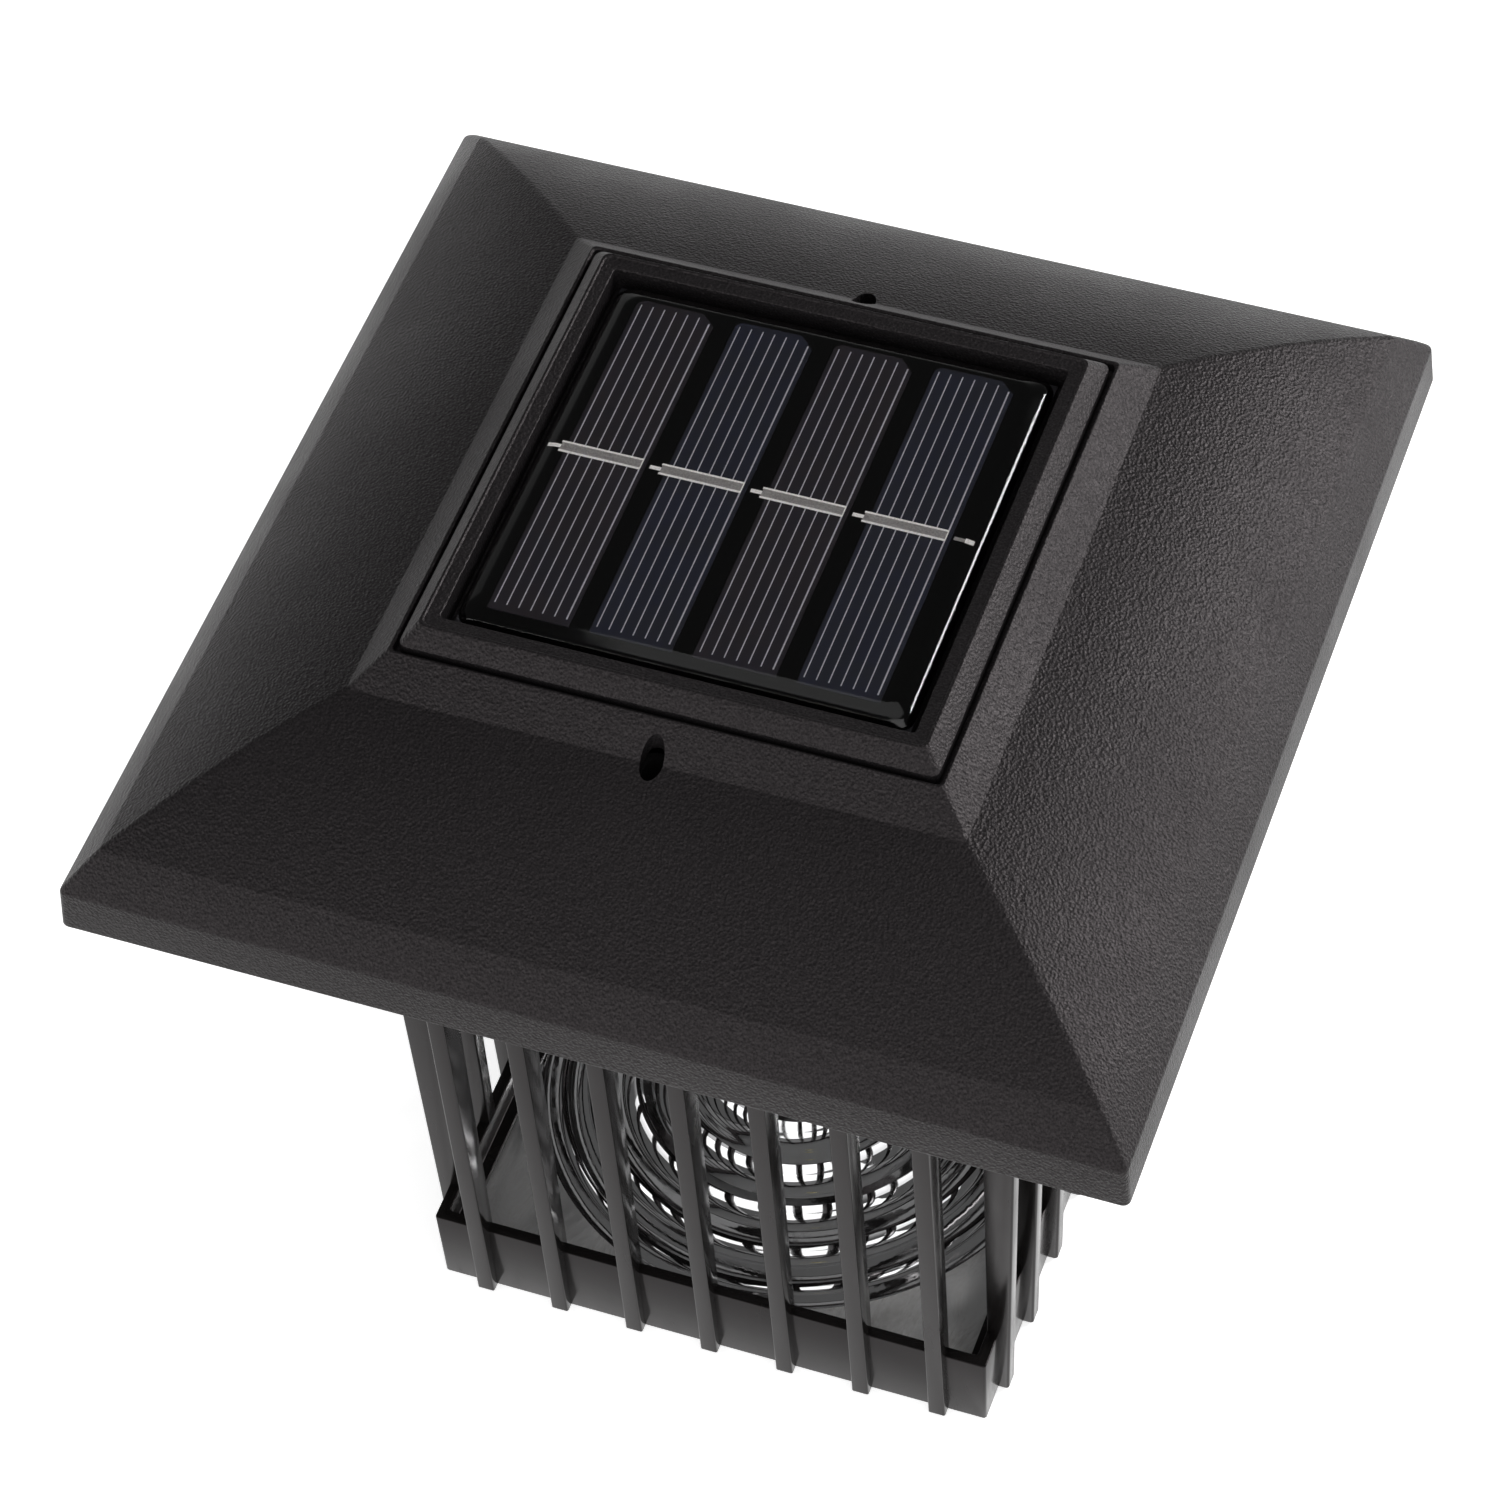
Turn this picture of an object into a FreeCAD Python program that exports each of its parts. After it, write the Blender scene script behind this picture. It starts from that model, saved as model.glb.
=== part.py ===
import FreeCAD, Part
import math
import os
import Sketcher

# Solar fence light: a square pyramid roof with a solar panel, over a slatted square cage with a
# chromed ring reflector, on a short square skirt that drops over a fence post.
# Millimetres. +Z is up, the origin is the centre of the skirt's bottom edge, and the screws that hold
# the roof to the cage lie at -Y and +Y. Every "half" size is half of a square's width.

V = FreeCAD.Vector
UP = V(0, 0, 1)
ALONG_X = V(1, 0, 0)

SIZES = {
    # Roof: a rim, a steep shoulder, a long slope that flattens upwards, and a steep crown round the
    # panel.
    "roof_half": 80.0, "roof_base": 124.5,
    "rim_half": 79.5, "rim_top": 131.9,
    "shoulder_half": 74.4, "shoulder_top": 137.6, "slope_bend_half": 61.5, "slope_bend": 145.4,
    "slope_half": 46.2, "slope_top": 151.1, "crown_half": 41.3, "crown_top": 155.7,
    "roof_wall": 2.0, "rim_edge": 0.8,
    # Panel well, and what lies in it, from the floor up.
    "well_half": 40.9, "well_floor": 154.0, "floor_thick": 3.0,
    "lead_hole_long": 16.0, "lead_hole_wide": 8.0,
    "seal_thick": 0.6, "seal_half": 33.4, "seal_inner": 25.0,
    "board_half": 34.1, "board_thick": 1.2,
    "cell_pitch": 15.5, "cell_wide": 12.4, "cell_long": 62.0, "cell_thick": 0.25,
    "cell_count": 4, "cell_aside": -0.75, "cell_back": 1.0,
    "ribbon_wide": 2.0, "ribbon_thick": 0.15, "ribbon_gap": 0.3, "ribbon_aside": -0.9,
    "resin_top": 158.3, "resin_bevel": 1.1, "resin_corner": 2.5,
    "frame_half": 39.6, "frame_inner": 35.4, "frame_edge": 156.0, "frame_ridge": 158.7,
    "frame_foot": 40.6, "frame_foot_thick": 0.8,
    "ridge_half": 37.7, "ridge_flat": 0.15, "frame_inner_edge": 158.5,
    # Screws from the roof's slope down into the cage.
    "roof_screw_y": 45.8, "screw_hole": 1.85, "screw_head": 1.6, "screw_head_tall": 1.4,
    "screw_shank": 1.0, "screw_long": 15.0, "screw_seat": 137.0, "screw_recess": 0.6,
    "roof_post": 3.75, "roof_post_base": 134.0, "roof_post_top": 148.5,
    # Plate that closes the roof from below, and its four posts and screws.
    "cover_half": 77.2, "cover_low": 126.5, "cover_thick": 2.0,
    "cover_post_at": 61.0, "cover_post": 4.0, "cover_post_top": 142.8,
    "cover_head": 2.7, "cover_head_tall": 1.5, "cover_shank": 1.4, "cover_screw_long": 9.0,
    "cover_recess": 0.9, "clearance": 0.05, "boss_hole": 4.1, "hole_spare": 0.5,
    # Battery box, its door and the door's hinge.
    "box_half_long": 27.0, "box_y": 22.0, "box_half_wide": 8.6, "box_inner_top": 145.5,
    "box_wall": 1.5, "box_end_wall": 1.8, "door_gap": 0.4, "door_thick": 1.8,
    "hatch_lip": 0.9, "hatch_step": 0.6, "hatch_to_hinge": 2.3, "neck_overlap": 2.0,
    "hinge_y": 34.0, "hinge_height": 127.4, "hinge_half_long": 19.6, "barrel": 1.9, "lug": 2.2,
    "lug_long": 5.0, "pin_radius": 0.75, "pin_half_long": 24.4, "pin_press": 0.02,
    "notch_half": 6.0, "notch_deep": 2.5, "notch_tall": 1.2,
    # Battery (AA) and its contacts.
    "battery_radius": 7.1, "battery_low": -23.0, "battery_high": 25.5, "battery_nub": 2.7,
    "battery_nub_end": 26.6, "battery_height": 136.6, "battery_bevel": 0.6,
    "contact_thick": 0.4, "contact_half_wide": 5.0, "contact_low": 131.0, "contact_high": 142.0,
    "tag_half_wide": 2.5, "tag_top": 149.0, "tag_slot": 0.4, "tag_room": 0.2,
    "coil_radius": 3.6, "coil_wire": 0.3, "coil_turns": 3,
    # Circuit board and what is on it.
    "circuit_half_long": 18.0, "circuit_front": -14.0, "circuit_back": 8.0, "circuit_low": 131.0,
    "circuit_thick": 1.2, "standoff_x": 14.5, "standoff_y": -10.5, "standoff": 2.4,
    "board_screw_head": 1.9, "board_screw_head_tall": 1.3, "board_screw_shank": 0.8,
    "board_screw_long": 4.6, "board_recess": 0.6, "standoff_floor": 0.6,
    "chip_long": 5.0, "chip_wide": 4.0, "chip_tall": 1.5, "chip_x": -6.0, "chip_y": -8.0,
    "inductor_radius": 3.0, "inductor_tall": 5.0, "inductor_x": 6.5, "inductor_y": -8.5,
    "led_radius": 2.5, "led_flange": 2.9, "led_flange_thick": 1.0, "led_tip": 120.6,
    "led_leg": 0.25, "led_leg_x": 1.27, "led_leg_top": 132.9, "led_hole": 2.65,
    # Switch on the underside of the overhang.
    "switch_x": 60.0, "switch_half_wide": 3.0, "switch_half_long": 6.5, "switch_tall": 5.6,
    "switch_travel": 4.0, "knob_half_wide": 1.6, "knob_half_long": 2.2, "knob_low": 125.1,
    "knob_stem_top": 131.5, "knob_gap": 0.25, "knob_ribs": 3, "knob_rib": 0.25,
    # Leads: where each pair leaves its part, the bends between, and where it meets the board.
    "lead_radius": 0.6, "panel_lead_x": 4.0, "panel_lead_bend": 146.0, "panel_lead_knee": 141.0,
    "panel_lead_end_x": 11.0, "panel_lead_end_y": -4.0, "tag_joint": 0.8,
    "battery_lead_y": 9.0, "battery_lead_knee": 142.0, "battery_lead_end_x": 15.0,
    "battery_lead_end_y": 4.0, "switch_lead_y": 2.5, "switch_lead_height": 131.5,
    "switch_lead_bend_x": 36.0, "switch_lead_knee": 139.0, "switch_lead_end_x": 15.5,
    "switch_lead_end_y": -1.5, "switch_lead_end_gap": 2.0,
    # Cage: skirt with a ledge, slats that lean outwards as they rise, and the ring they end in.
    "band_half_low": 46.6, "band_half_high": 46.85, "band_top": 16.0, "band_inner": 44.9,
    "ledge_inner": 42.9, "ledge_low": 7.1, "ledge_thick": 1.2,
    "slat_count": 7, "slat_pitch": 12.94, "slat_wide": 2.8, "slat_outer": 48.4, "slat_lean": 1.5,
    "slat_inner_lean": 0.2, "slat_bevel": 0.5,
    "ring_low": 121.0, "ring_outer": 52.0, "ring_inner": 45.3,
    "boss_radius": 3.4, "boss_high": 133.8,
    # Reflector: a square tray with rings that climb, ever faster, to the middle. Each ring has a
    # sloping flank outside, a level land, and a short step down or up to the next flank.
    "tray_half": 44.6, "tray_thick": 1.2, "tray_hole": 41.5, "valley_start": 42.2, "rings": 6,
    "rings_radius": 39.3, "rings_pitch": 6.35, "first_rise": 0.5, "ring_rise": 1.1, "rise_growth": 0.27,
    "flank_tall": 1.0, "flank_growth": 0.6, "flank_most": 2.9, "flank_slope": 31.0,
    "first_land": 3.4, "land": 1.4,
}

doc = FreeCAD.newDocument("solar_fence_light")
sheet = doc.addObject("Spreadsheet::Sheet", "Sizes")
for row, (word, number) in enumerate(SIZES.items(), start=1):
    sheet.set("A%d" % row, word)
    sheet.set("B%d" % row, str(number))
    sheet.setAlias("B%d" % row, word)
doc.recompute()

parts = []


def worth(expression):
    """Number that an expression over the sheet's aliases gives."""
    return float(sheet.evalExpression(expression))


def bind(target, **expressions):
    """Bind properties to expressions over the sheet's aliases."""
    for name, expression in expressions.items():
        target.setExpression(name, expression)


def finish_part(item, label):
    """Name a finished sub-part and put it on the list of parts to write."""
    item.Label = label
    parts.append(item)
    return item


# ---------------------------------------------------------------- bodies, sketches and features

def new_body(label):
    body = doc.addObject("PartDesign::Body", "body_" + label)
    return finish_part(body, label)


def new_sketch(body, plane, offset="0"):
    """Sketch on one of the body's own origin planes, moved along the plane's normal by offset."""
    sketch = body.newObject("Sketcher::SketchObject", body.Name + "_sketch")
    origin_plane = [item for item in body.Origin.OriginFeatures if item.Role == plane][0]
    sketch.AttachmentSupport = [(origin_plane, "")]
    sketch.MapMode = "FlatFace"
    sketch.setExpression("AttachmentOffset.Base.z", offset)
    return sketch


def pin_point(sketch, geometry, end, x_rule, y_rule):
    """Tie a sketch point to two expressions, measured from the sketch's origin."""
    for kind, rule in (("DistanceX", x_rule), ("DistanceY", y_rule)):
        index = sketch.addConstraint(Sketcher.Constraint(kind, -1, 1, geometry, end, worth(rule)))
        name = "%s_%d" % (kind, index)
        sketch.renameConstraint(index, name)
        sketch.setExpression("Constraints." + name, rule)


def add_outline(sketch, corners):
    """Closed outline of straight sides through corners, each a pair of expressions."""
    first = sketch.GeometryCount
    count = len(corners)
    places = [V(worth(x), worth(y), 0) for x, y in corners]
    for index in range(count):
        sketch.addGeometry(Part.LineSegment(places[index], places[(index + 1) % count]), False)
    for index in range(count):
        following = first + (index + 1) % count
        sketch.addConstraint(Sketcher.Constraint("Coincident", first + index, 2, following, 1))
    for index, (x, y) in enumerate(corners):
        pin_point(sketch, first + index, 1, x, y)


def add_rectangle(sketch, left, right, low, high):
    add_outline(sketch, [(left, low), (right, low), (right, high), (left, high)])


def add_square(sketch, half):
    add_rectangle(sketch, "-(%s)" % half, half, "-(%s)" % half, half)


def add_circle(sketch, x, y, radius):
    index = sketch.addGeometry(Part.Circle(V(worth(x), worth(y), 0), UP, worth(radius)), False)
    pin_point(sketch, index, 3, x, y)
    constraint = sketch.addConstraint(Sketcher.Constraint("Radius", index, worth(radius)))
    name = "radius_%d" % constraint
    sketch.renameConstraint(constraint, name)
    sketch.setExpression("Constraints." + name, radius)


def pad(body, draw, low, high):
    """Add what draw puts in a level sketch, from height low up to height high."""
    sketch = new_sketch(body, "XY_Plane", low)
    draw(sketch)
    feature = body.newObject("PartDesign::Pad", body.Name + "_pad")
    feature.Profile = sketch
    bind(feature, Length="(%s) - (%s)" % (high, low))
    return feature


def pocket(body, draw, low, high):
    """Cut what draw puts in a level sketch, from height high down to height low."""
    sketch = new_sketch(body, "XY_Plane", high)
    draw(sketch)
    feature = body.newObject("PartDesign::Pocket", body.Name + "_pocket")
    feature.Profile = sketch
    bind(feature, Length="(%s) - (%s)" % (high, low))
    return feature


def square_frustums(body, kind, levels):
    """Pads or pockets with drafted sides, each from one square level up to the next."""
    for (half, height), (next_half, next_height) in zip(levels, levels[1:]):
        sketch = new_sketch(body, "XY_Plane", height)
        add_square(sketch, half)
        feature = body.newObject("PartDesign::" + kind, body.Name + "_frustum")
        feature.Profile = sketch
        feature.Reversed = kind == "Pocket"
        rise = "((%s) - (%s))" % (next_height, height)
        bind(feature, Length=rise, TaperAngle="-atan(((%s) - (%s)) / %s)" % (half, next_half, rise))
    return feature


def revolve(body, corners, kind="Revolution", plane="XZ_Plane", axis="V_Axis"):
    """Turn an outline once round an axis of its sketch."""
    sketch = new_sketch(body, plane)
    add_outline(sketch, corners)
    feature = body.newObject("PartDesign::" + kind, body.Name + "_turned")
    feature.Profile = sketch
    feature.ReferenceAxis = (sketch, [axis])
    feature.Angle = 360
    return feature


def round_edges(body, feature, wanted, radius):
    """Fillet the feature's edges for which wanted(edge) is true."""
    doc.recompute()
    names = ["Edge%d" % (index + 1) for index, edge in enumerate(feature.Shape.Edges) if wanted(edge)]
    fillet = body.newObject("PartDesign::Fillet", body.Name + "_fillet")
    fillet.Base = (feature, names)
    bind(fillet, Radius=radius)
    return fillet


# ---------------------------------------------------------------- primitives and plain shapes

def level_box(name, x_low, x_high, y_low, y_high, low, high):
    """Part::Box between the given limits."""
    box = doc.addObject("Part::Box", name)
    bind(box, Length="(%s) - (%s)" % (x_high, x_low), Width="(%s) - (%s)" % (y_high, y_low),
         Height="(%s) - (%s)" % (high, low))
    box.setExpression("Placement.Base.x", x_low)
    box.setExpression("Placement.Base.y", y_low)
    box.setExpression("Placement.Base.z", low)
    return box


def upright_cylinder(name, x, y, radius, low, high):
    """Part::Cylinder along Z between two heights."""
    cylinder = doc.addObject("Part::Cylinder", name)
    bind(cylinder, Radius=radius, Height="(%s) - (%s)" % (high, low))
    cylinder.setExpression("Placement.Base.x", x)
    cylinder.setExpression("Placement.Base.y", y)
    cylinder.setExpression("Placement.Base.z", low)
    return cylinder


def cut_from(name, base, tools):
    """Part::Cut of one object by several, one after the other."""
    result = base
    for index, tool in enumerate(tools):
        cut = doc.addObject("Part::Cut", "%s_cut_%d" % (name, index))
        cut.Base = result
        cut.Tool = tool
        result = cut
    return result


def plain_feature(label, shape):
    """Part::Feature that holds a shape made from the sheet's sizes."""
    feature = doc.addObject("Part::Feature", "shape_" + label)
    feature.Shape = shape
    feature.Placement = FreeCAD.Placement()
    return finish_part(feature, label)


def solid_box(x_low, x_high, y_low, y_high, low, high):
    return Part.makeBox(x_high - x_low, y_high - y_low, high - low, V(x_low, y_low, low))


def screw_shape(head_radius, head_tall, shank_radius, length, slot_wide):
    """Pan-head screw pointing down, with the underside of its head at the origin."""
    head = Part.makeCylinder(head_radius, head_tall)
    rim = [edge for edge in head.Edges if edge.BoundBox.ZMin > head_tall / 2 and edge.Closed]
    head = head.makeFillet(head_tall * 0.45, rim)
    shank = Part.makeCylinder(shank_radius, length - shank_radius, V(0, 0, shank_radius - length))
    tip = Part.makeCone(shank_radius * 0.3, shank_radius, shank_radius, V(0, 0, -length))
    screw = head.fuse([shank, tip]).removeSplitter()
    arm = head_radius * 0.6
    for along, across in ((arm, slot_wide / 2), (slot_wide / 2, arm)):
        screw = screw.cut(solid_box(-along, along, -across, across, head_tall * 0.45, head_tall + 1))
    return screw


def screws_at(label, shape, places, upside_down=False):
    """One node of equal screws at the given places."""
    copies = []
    for place in places:
        copy = shape.copy()
        if upside_down:
            copy.rotate(V(0, 0, 0), ALONG_X, 180)
        copy.translate(place)
        copies.append(copy)
    return plain_feature(label, Part.makeCompound(copies))


# ---------------------------------------------------------------- roof

def build_roof_cap():
    """Pyramid shell with the panel well, two screw posts and four posts for the cover's screws."""
    body = new_body("roof_cap")
    outer = square_frustums(body, "Pad", [
        ("Sizes.roof_half", "Sizes.roof_base"), ("Sizes.rim_half", "Sizes.rim_top"),
        ("Sizes.shoulder_half", "Sizes.shoulder_top"), ("Sizes.slope_bend_half", "Sizes.slope_bend"),
        ("Sizes.slope_half", "Sizes.slope_top"), ("Sizes.crown_half", "Sizes.crown_top")])
    ends = [worth("Sizes.roof_base"), worth("Sizes.crown_top")]
    round_edges(body, outer, lambda edge: edge.BoundBox.ZLength > 0.1 or all(
        abs(edge.BoundBox.ZMin - end) > 0.1 for end in ends), "Sizes.rim_edge")
    wall = "Sizes.roof_wall"
    square_frustums(body, "Pocket", [
        ("Sizes.roof_half - " + wall, "Sizes.roof_base"),
        ("Sizes.rim_half - " + wall, "Sizes.rim_top - " + wall),
        ("Sizes.shoulder_half - 0.65 * " + wall, "Sizes.shoulder_top - 0.75 * " + wall),
        ("Sizes.slope_bend_half - 0.45 * " + wall, "Sizes.slope_bend - 0.9 * " + wall),
        ("Sizes.slope_half - 0.55 * " + wall, "Sizes.slope_top - 0.85 * " + wall),
        ("Sizes.slope_half - 1.4 * " + wall, "Sizes.well_floor - Sizes.floor_thick")])
    pocket(body, lambda sketch: add_square(sketch, "Sizes.well_half"), "Sizes.well_floor", "Sizes.crown_top")
    pocket(body, lambda sketch: add_rectangle(
        sketch, "-Sizes.lead_hole_long / 2", "Sizes.lead_hole_long / 2",
        "-Sizes.lead_hole_wide / 2", "Sizes.lead_hole_wide / 2"),
        "Sizes.well_floor - Sizes.floor_thick", "Sizes.well_floor")
    for side in ("", "-"):
        place = side + "Sizes.roof_screw_y"
        pad(body, lambda sketch: add_circle(sketch, "0", place, "Sizes.roof_post"),
            "Sizes.roof_post_base", "Sizes.roof_post_top")
        pocket(body, lambda sketch: add_circle(sketch, "0", place, "Sizes.screw_hole"),
               "Sizes.screw_seat", "Sizes.crown_top")
        pocket(body, lambda sketch: add_circle(sketch, "0", place, "Sizes.screw_shank + Sizes.clearance"),
               "Sizes.roof_post_base", "Sizes.screw_seat")
    for side_x in ("", "-"):
        for side_y in ("", "-"):
            x = side_x + "Sizes.cover_post_at"
            y = side_y + "Sizes.cover_post_at"
            pad(body, lambda sketch: add_circle(sketch, x, y, "Sizes.cover_post"),
                "Sizes.cover_low + Sizes.cover_thick", "Sizes.cover_post_top")
            pocket(body, lambda sketch: add_circle(sketch, x, y, "Sizes.cover_shank + Sizes.clearance"),
                   "Sizes.cover_low + Sizes.cover_thick",
                   "Sizes.cover_low + Sizes.cover_screw_long + Sizes.hole_spare")


def build_roof_screws():
    screw = screw_shape(worth("Sizes.screw_head"), worth("Sizes.screw_head_tall"),
                        worth("Sizes.screw_shank"), worth("Sizes.screw_long"), worth("Sizes.screw_recess"))
    seat = worth("Sizes.screw_seat")
    reach = worth("Sizes.roof_screw_y")
    screws_at("roof_screws", screw, [V(0, -reach, seat), V(0, reach, seat)])


# ---------------------------------------------------------------- solar panel

BOARD_LOW = "(Sizes.well_floor + Sizes.seal_thick)"
BOARD_TOP = "(Sizes.well_floor + Sizes.seal_thick + Sizes.board_thick)"


def square_ring(name, outer, inner, low, high):
    """Flat square ring, as the cut of two boxes."""
    base = level_box(name + "_outer", "-" + outer, outer, "-" + outer, outer, low, high)
    hole = level_box(name + "_inner", "-" + inner, inner, "-" + inner, inner, low + " - 1", high + " + 1")
    return cut_from(name, base, [hole])


def build_panel_seal():
    ring = square_ring("seal", "Sizes.seal_half", "Sizes.seal_inner", "Sizes.well_floor", BOARD_LOW)
    finish_part(ring, "panel_seal")


def build_panel_board():
    half = "Sizes.board_half"
    board = level_box("board_blank", "-" + half, half, "-" + half, half, BOARD_LOW, BOARD_TOP)
    finish_part(board, "panel_board")


def cell_centres():
    """Middles of the cells along X. The whole row lies a little to the left."""
    count = int(worth("Sizes.cell_count"))
    pitch = worth("Sizes.cell_pitch")
    aside = worth("Sizes.cell_aside")
    return [aside + (index - (count - 1) / 2) * pitch for index in range(count)]


def build_solar_cells():
    """Cells in a row along X, each with its corners cut."""
    half_wide = worth("Sizes.cell_wide / 2")
    half_long = worth("Sizes.cell_long / 2")
    back = worth("Sizes.cell_back")
    low = worth(BOARD_TOP)
    cells = []
    for centre in cell_centres():
        cell = solid_box(centre - half_wide, centre + half_wide, back - half_long, back + half_long,
                         low, low + worth("Sizes.cell_thick"))
        corners = [edge for edge in cell.Edges
                   if edge.BoundBox.ZLength > edge.BoundBox.XLength + edge.BoundBox.YLength
                   and edge.BoundBox.YMin > 0]
        cells.append(cell.makeChamfer(half_wide * 0.14, corners))
    return plain_feature("solar_cells", Part.makeCompound(cells))


def build_cell_ribbons():
    """One silver ribbon across the middle of each cell, almost to the next one."""
    half = worth("Sizes.ribbon_wide / 2")
    low = worth(BOARD_TOP + " + Sizes.cell_thick")
    high = low + worth("Sizes.ribbon_thick")
    reach = worth("Sizes.cell_pitch / 2 - Sizes.ribbon_gap")
    back = worth("Sizes.cell_back")
    ribbons = []
    for centre in cell_centres():
        middle = centre + worth("Sizes.ribbon_aside")
        ribbons.append(solid_box(middle - reach, middle + reach, back - half, back + half, low, high))
    return plain_feature("cell_ribbons", Part.makeCompound(ribbons))


def build_panel_resin(cells, ribbons):
    """Clear resin with round corners and sloping edges, cast round the cells and ribbons."""
    half = worth("Sizes.board_half")
    low = worth(BOARD_TOP)
    top = worth("Sizes.resin_top")
    block = solid_box(-half, half, -half, half, low, top)
    upright = [edge for edge in block.Edges if edge.BoundBox.ZLength > (top - low) / 2]
    block = block.makeFillet(worth("Sizes.resin_corner"), upright)
    upper = [edge for edge in block.Edges if edge.BoundBox.ZMin > top - 0.01]
    block = block.makeChamfer(worth("Sizes.resin_bevel"), upper)
    for piece in cells.Shape.Solids + ribbons.Shape.Solids:
        block = block.cut(piece)
    plain_feature("panel_resin", block)


def build_panel_frame():
    """Square bezel: a foot, a steep outer facet up to a thin ridge, and a top that dips to its opening."""
    body = new_body("panel_frame")
    pad(body, lambda sketch: add_square(sketch, "Sizes.frame_foot"),
        "Sizes.well_floor", "Sizes.well_floor + Sizes.frame_foot_thick")
    square_frustums(body, "Pad", [
        ("Sizes.frame_half", "Sizes.well_floor"), ("Sizes.frame_half", "Sizes.frame_edge"),
        ("Sizes.ridge_half + Sizes.ridge_flat", "Sizes.frame_ridge")])
    square_frustums(body, "Pocket", [
        ("Sizes.frame_inner", "Sizes.well_floor"), ("Sizes.frame_inner", "Sizes.frame_inner_edge"),
        ("Sizes.ridge_half - Sizes.ridge_flat", "Sizes.frame_ridge")])


# ---------------------------------------------------------------- cover with the battery box

COVER_TOP = "(Sizes.cover_low + Sizes.cover_thick)"
BOX_LEFT = "-(Sizes.box_half_long)"
BOX_FRONT = "(Sizes.box_y - Sizes.box_half_wide)"
BOX_BACK = "(Sizes.box_y + Sizes.box_half_wide)"
HATCH_HALF = "(Sizes.box_half_long + Sizes.hatch_lip)"
HATCH_FRONT = "(Sizes.box_y - Sizes.box_half_wide - Sizes.hatch_step)"
HATCH_BACK = "(Sizes.hinge_y - Sizes.hatch_to_hinge)"


def build_under_cover():
    """Plate with the battery box, hinge lugs, standoffs and every hole through it."""
    body = new_body("under_cover")
    low = "Sizes.cover_low"
    pad(body, lambda sketch: add_square(sketch, "Sizes.cover_half"), low, COVER_TOP)
    pad(body, lambda sketch: add_rectangle(
        sketch, BOX_LEFT + " - Sizes.box_end_wall", "Sizes.box_half_long + Sizes.box_end_wall",
        BOX_FRONT + " - Sizes.box_wall", BOX_BACK + " + Sizes.box_wall"),
        COVER_TOP, "Sizes.box_inner_top + Sizes.box_wall")
    pocket(body, lambda sketch: add_rectangle(
        sketch, BOX_LEFT, "Sizes.box_half_long", BOX_FRONT, BOX_BACK), low, "Sizes.box_inner_top")
    pocket(body, lambda sketch: add_rectangle(
        sketch, "-" + HATCH_HALF, HATCH_HALF, HATCH_FRONT, HATCH_BACK), low, COVER_TOP)
    pocket(body, lambda sketch: add_rectangle(
        sketch, "-Sizes.hinge_half_long - Sizes.door_gap", "Sizes.hinge_half_long + Sizes.door_gap",
        HATCH_BACK, "Sizes.hinge_y + Sizes.barrel + Sizes.door_gap"), low, COVER_TOP)
    pocket(body, lambda sketch: add_rectangle(
        sketch, "-Sizes.notch_half", "Sizes.notch_half", HATCH_FRONT + " - Sizes.notch_deep",
        HATCH_FRONT), low, "Sizes.cover_low + Sizes.notch_tall")
    for side in ("", "-"):
        tag = side + "(Sizes.box_half_long - Sizes.contact_thick / 2)"
        pocket(body, lambda sketch: add_rectangle(
            sketch, tag + " - Sizes.tag_slot", tag + " + Sizes.tag_slot",
            "Sizes.box_y - Sizes.tag_half_wide - Sizes.tag_room",
            "Sizes.box_y + Sizes.tag_half_wide + Sizes.tag_room"),
            "Sizes.box_inner_top", "Sizes.box_inner_top + Sizes.box_wall")
        standoff = side + "Sizes.standoff_x"
        pad(body, lambda sketch: add_circle(sketch, standoff, "Sizes.standoff_y", "Sizes.standoff"),
            COVER_TOP, "Sizes.circuit_low")
        pocket(body, lambda sketch: add_circle(
            sketch, standoff, "Sizes.standoff_y", "Sizes.board_screw_shank + Sizes.clearance"),
            "Sizes.cover_low + Sizes.standoff_floor", "Sizes.circuit_low")
        boss = side + "Sizes.roof_screw_y"
        pocket(body, lambda sketch: add_circle(sketch, "0", boss, "Sizes.boss_hole"), low, COVER_TOP)
        for other in ("", "-"):
            x = side + "Sizes.cover_post_at"
            y = other + "Sizes.cover_post_at"
            pocket(body, lambda sketch: add_circle(sketch, x, y, "Sizes.cover_shank + Sizes.clearance"),
                   low, COVER_TOP)
    pocket(body, lambda sketch: add_circle(sketch, "0", "0", "Sizes.led_hole"), low, COVER_TOP)
    slot_wide = "(Sizes.knob_half_wide + Sizes.knob_gap)"
    slot_long = "(Sizes.knob_half_long + Sizes.switch_travel / 2 + Sizes.knob_gap)"
    pocket(body, lambda sketch: add_rectangle(
        sketch, "Sizes.switch_x - " + slot_wide, "Sizes.switch_x + " + slot_wide,
        "-" + slot_long, slot_long), low, COVER_TOP)
    for side in (1, -1):
        hinge_lug(body, side)


def hinge_lug(body, side):
    """Round lug beside the door's barrel, with the hole that holds the pin."""
    start = "(%d * (Sizes.hinge_half_long + Sizes.door_gap))" % side
    for kind, radius in (("Pad", "Sizes.lug"), ("Pocket", "Sizes.pin_radius + Sizes.pin_press")):
        sketch = new_sketch(body, "YZ_Plane", start)
        add_circle(sketch, "Sizes.hinge_y", "Sizes.hinge_height", radius)
        feature = body.newObject("PartDesign::" + kind, body.Name + "_lug")
        feature.Profile = sketch
        feature.Reversed = (side > 0) == (kind == "Pocket")
        bind(feature, Length="Sizes.lug_long")


def build_cover_screws():
    screw = screw_shape(worth("Sizes.cover_head"), worth("Sizes.cover_head_tall"),
                        worth("Sizes.cover_shank"), worth("Sizes.cover_screw_long"),
                        worth("Sizes.cover_recess"))
    at = worth("Sizes.cover_post_at")
    low = worth("Sizes.cover_low")
    places = [V(x, y, low) for x in (-at, at) for y in (-at, at)]
    screws_at("cover_screws", screw, places, upside_down=True)


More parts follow.
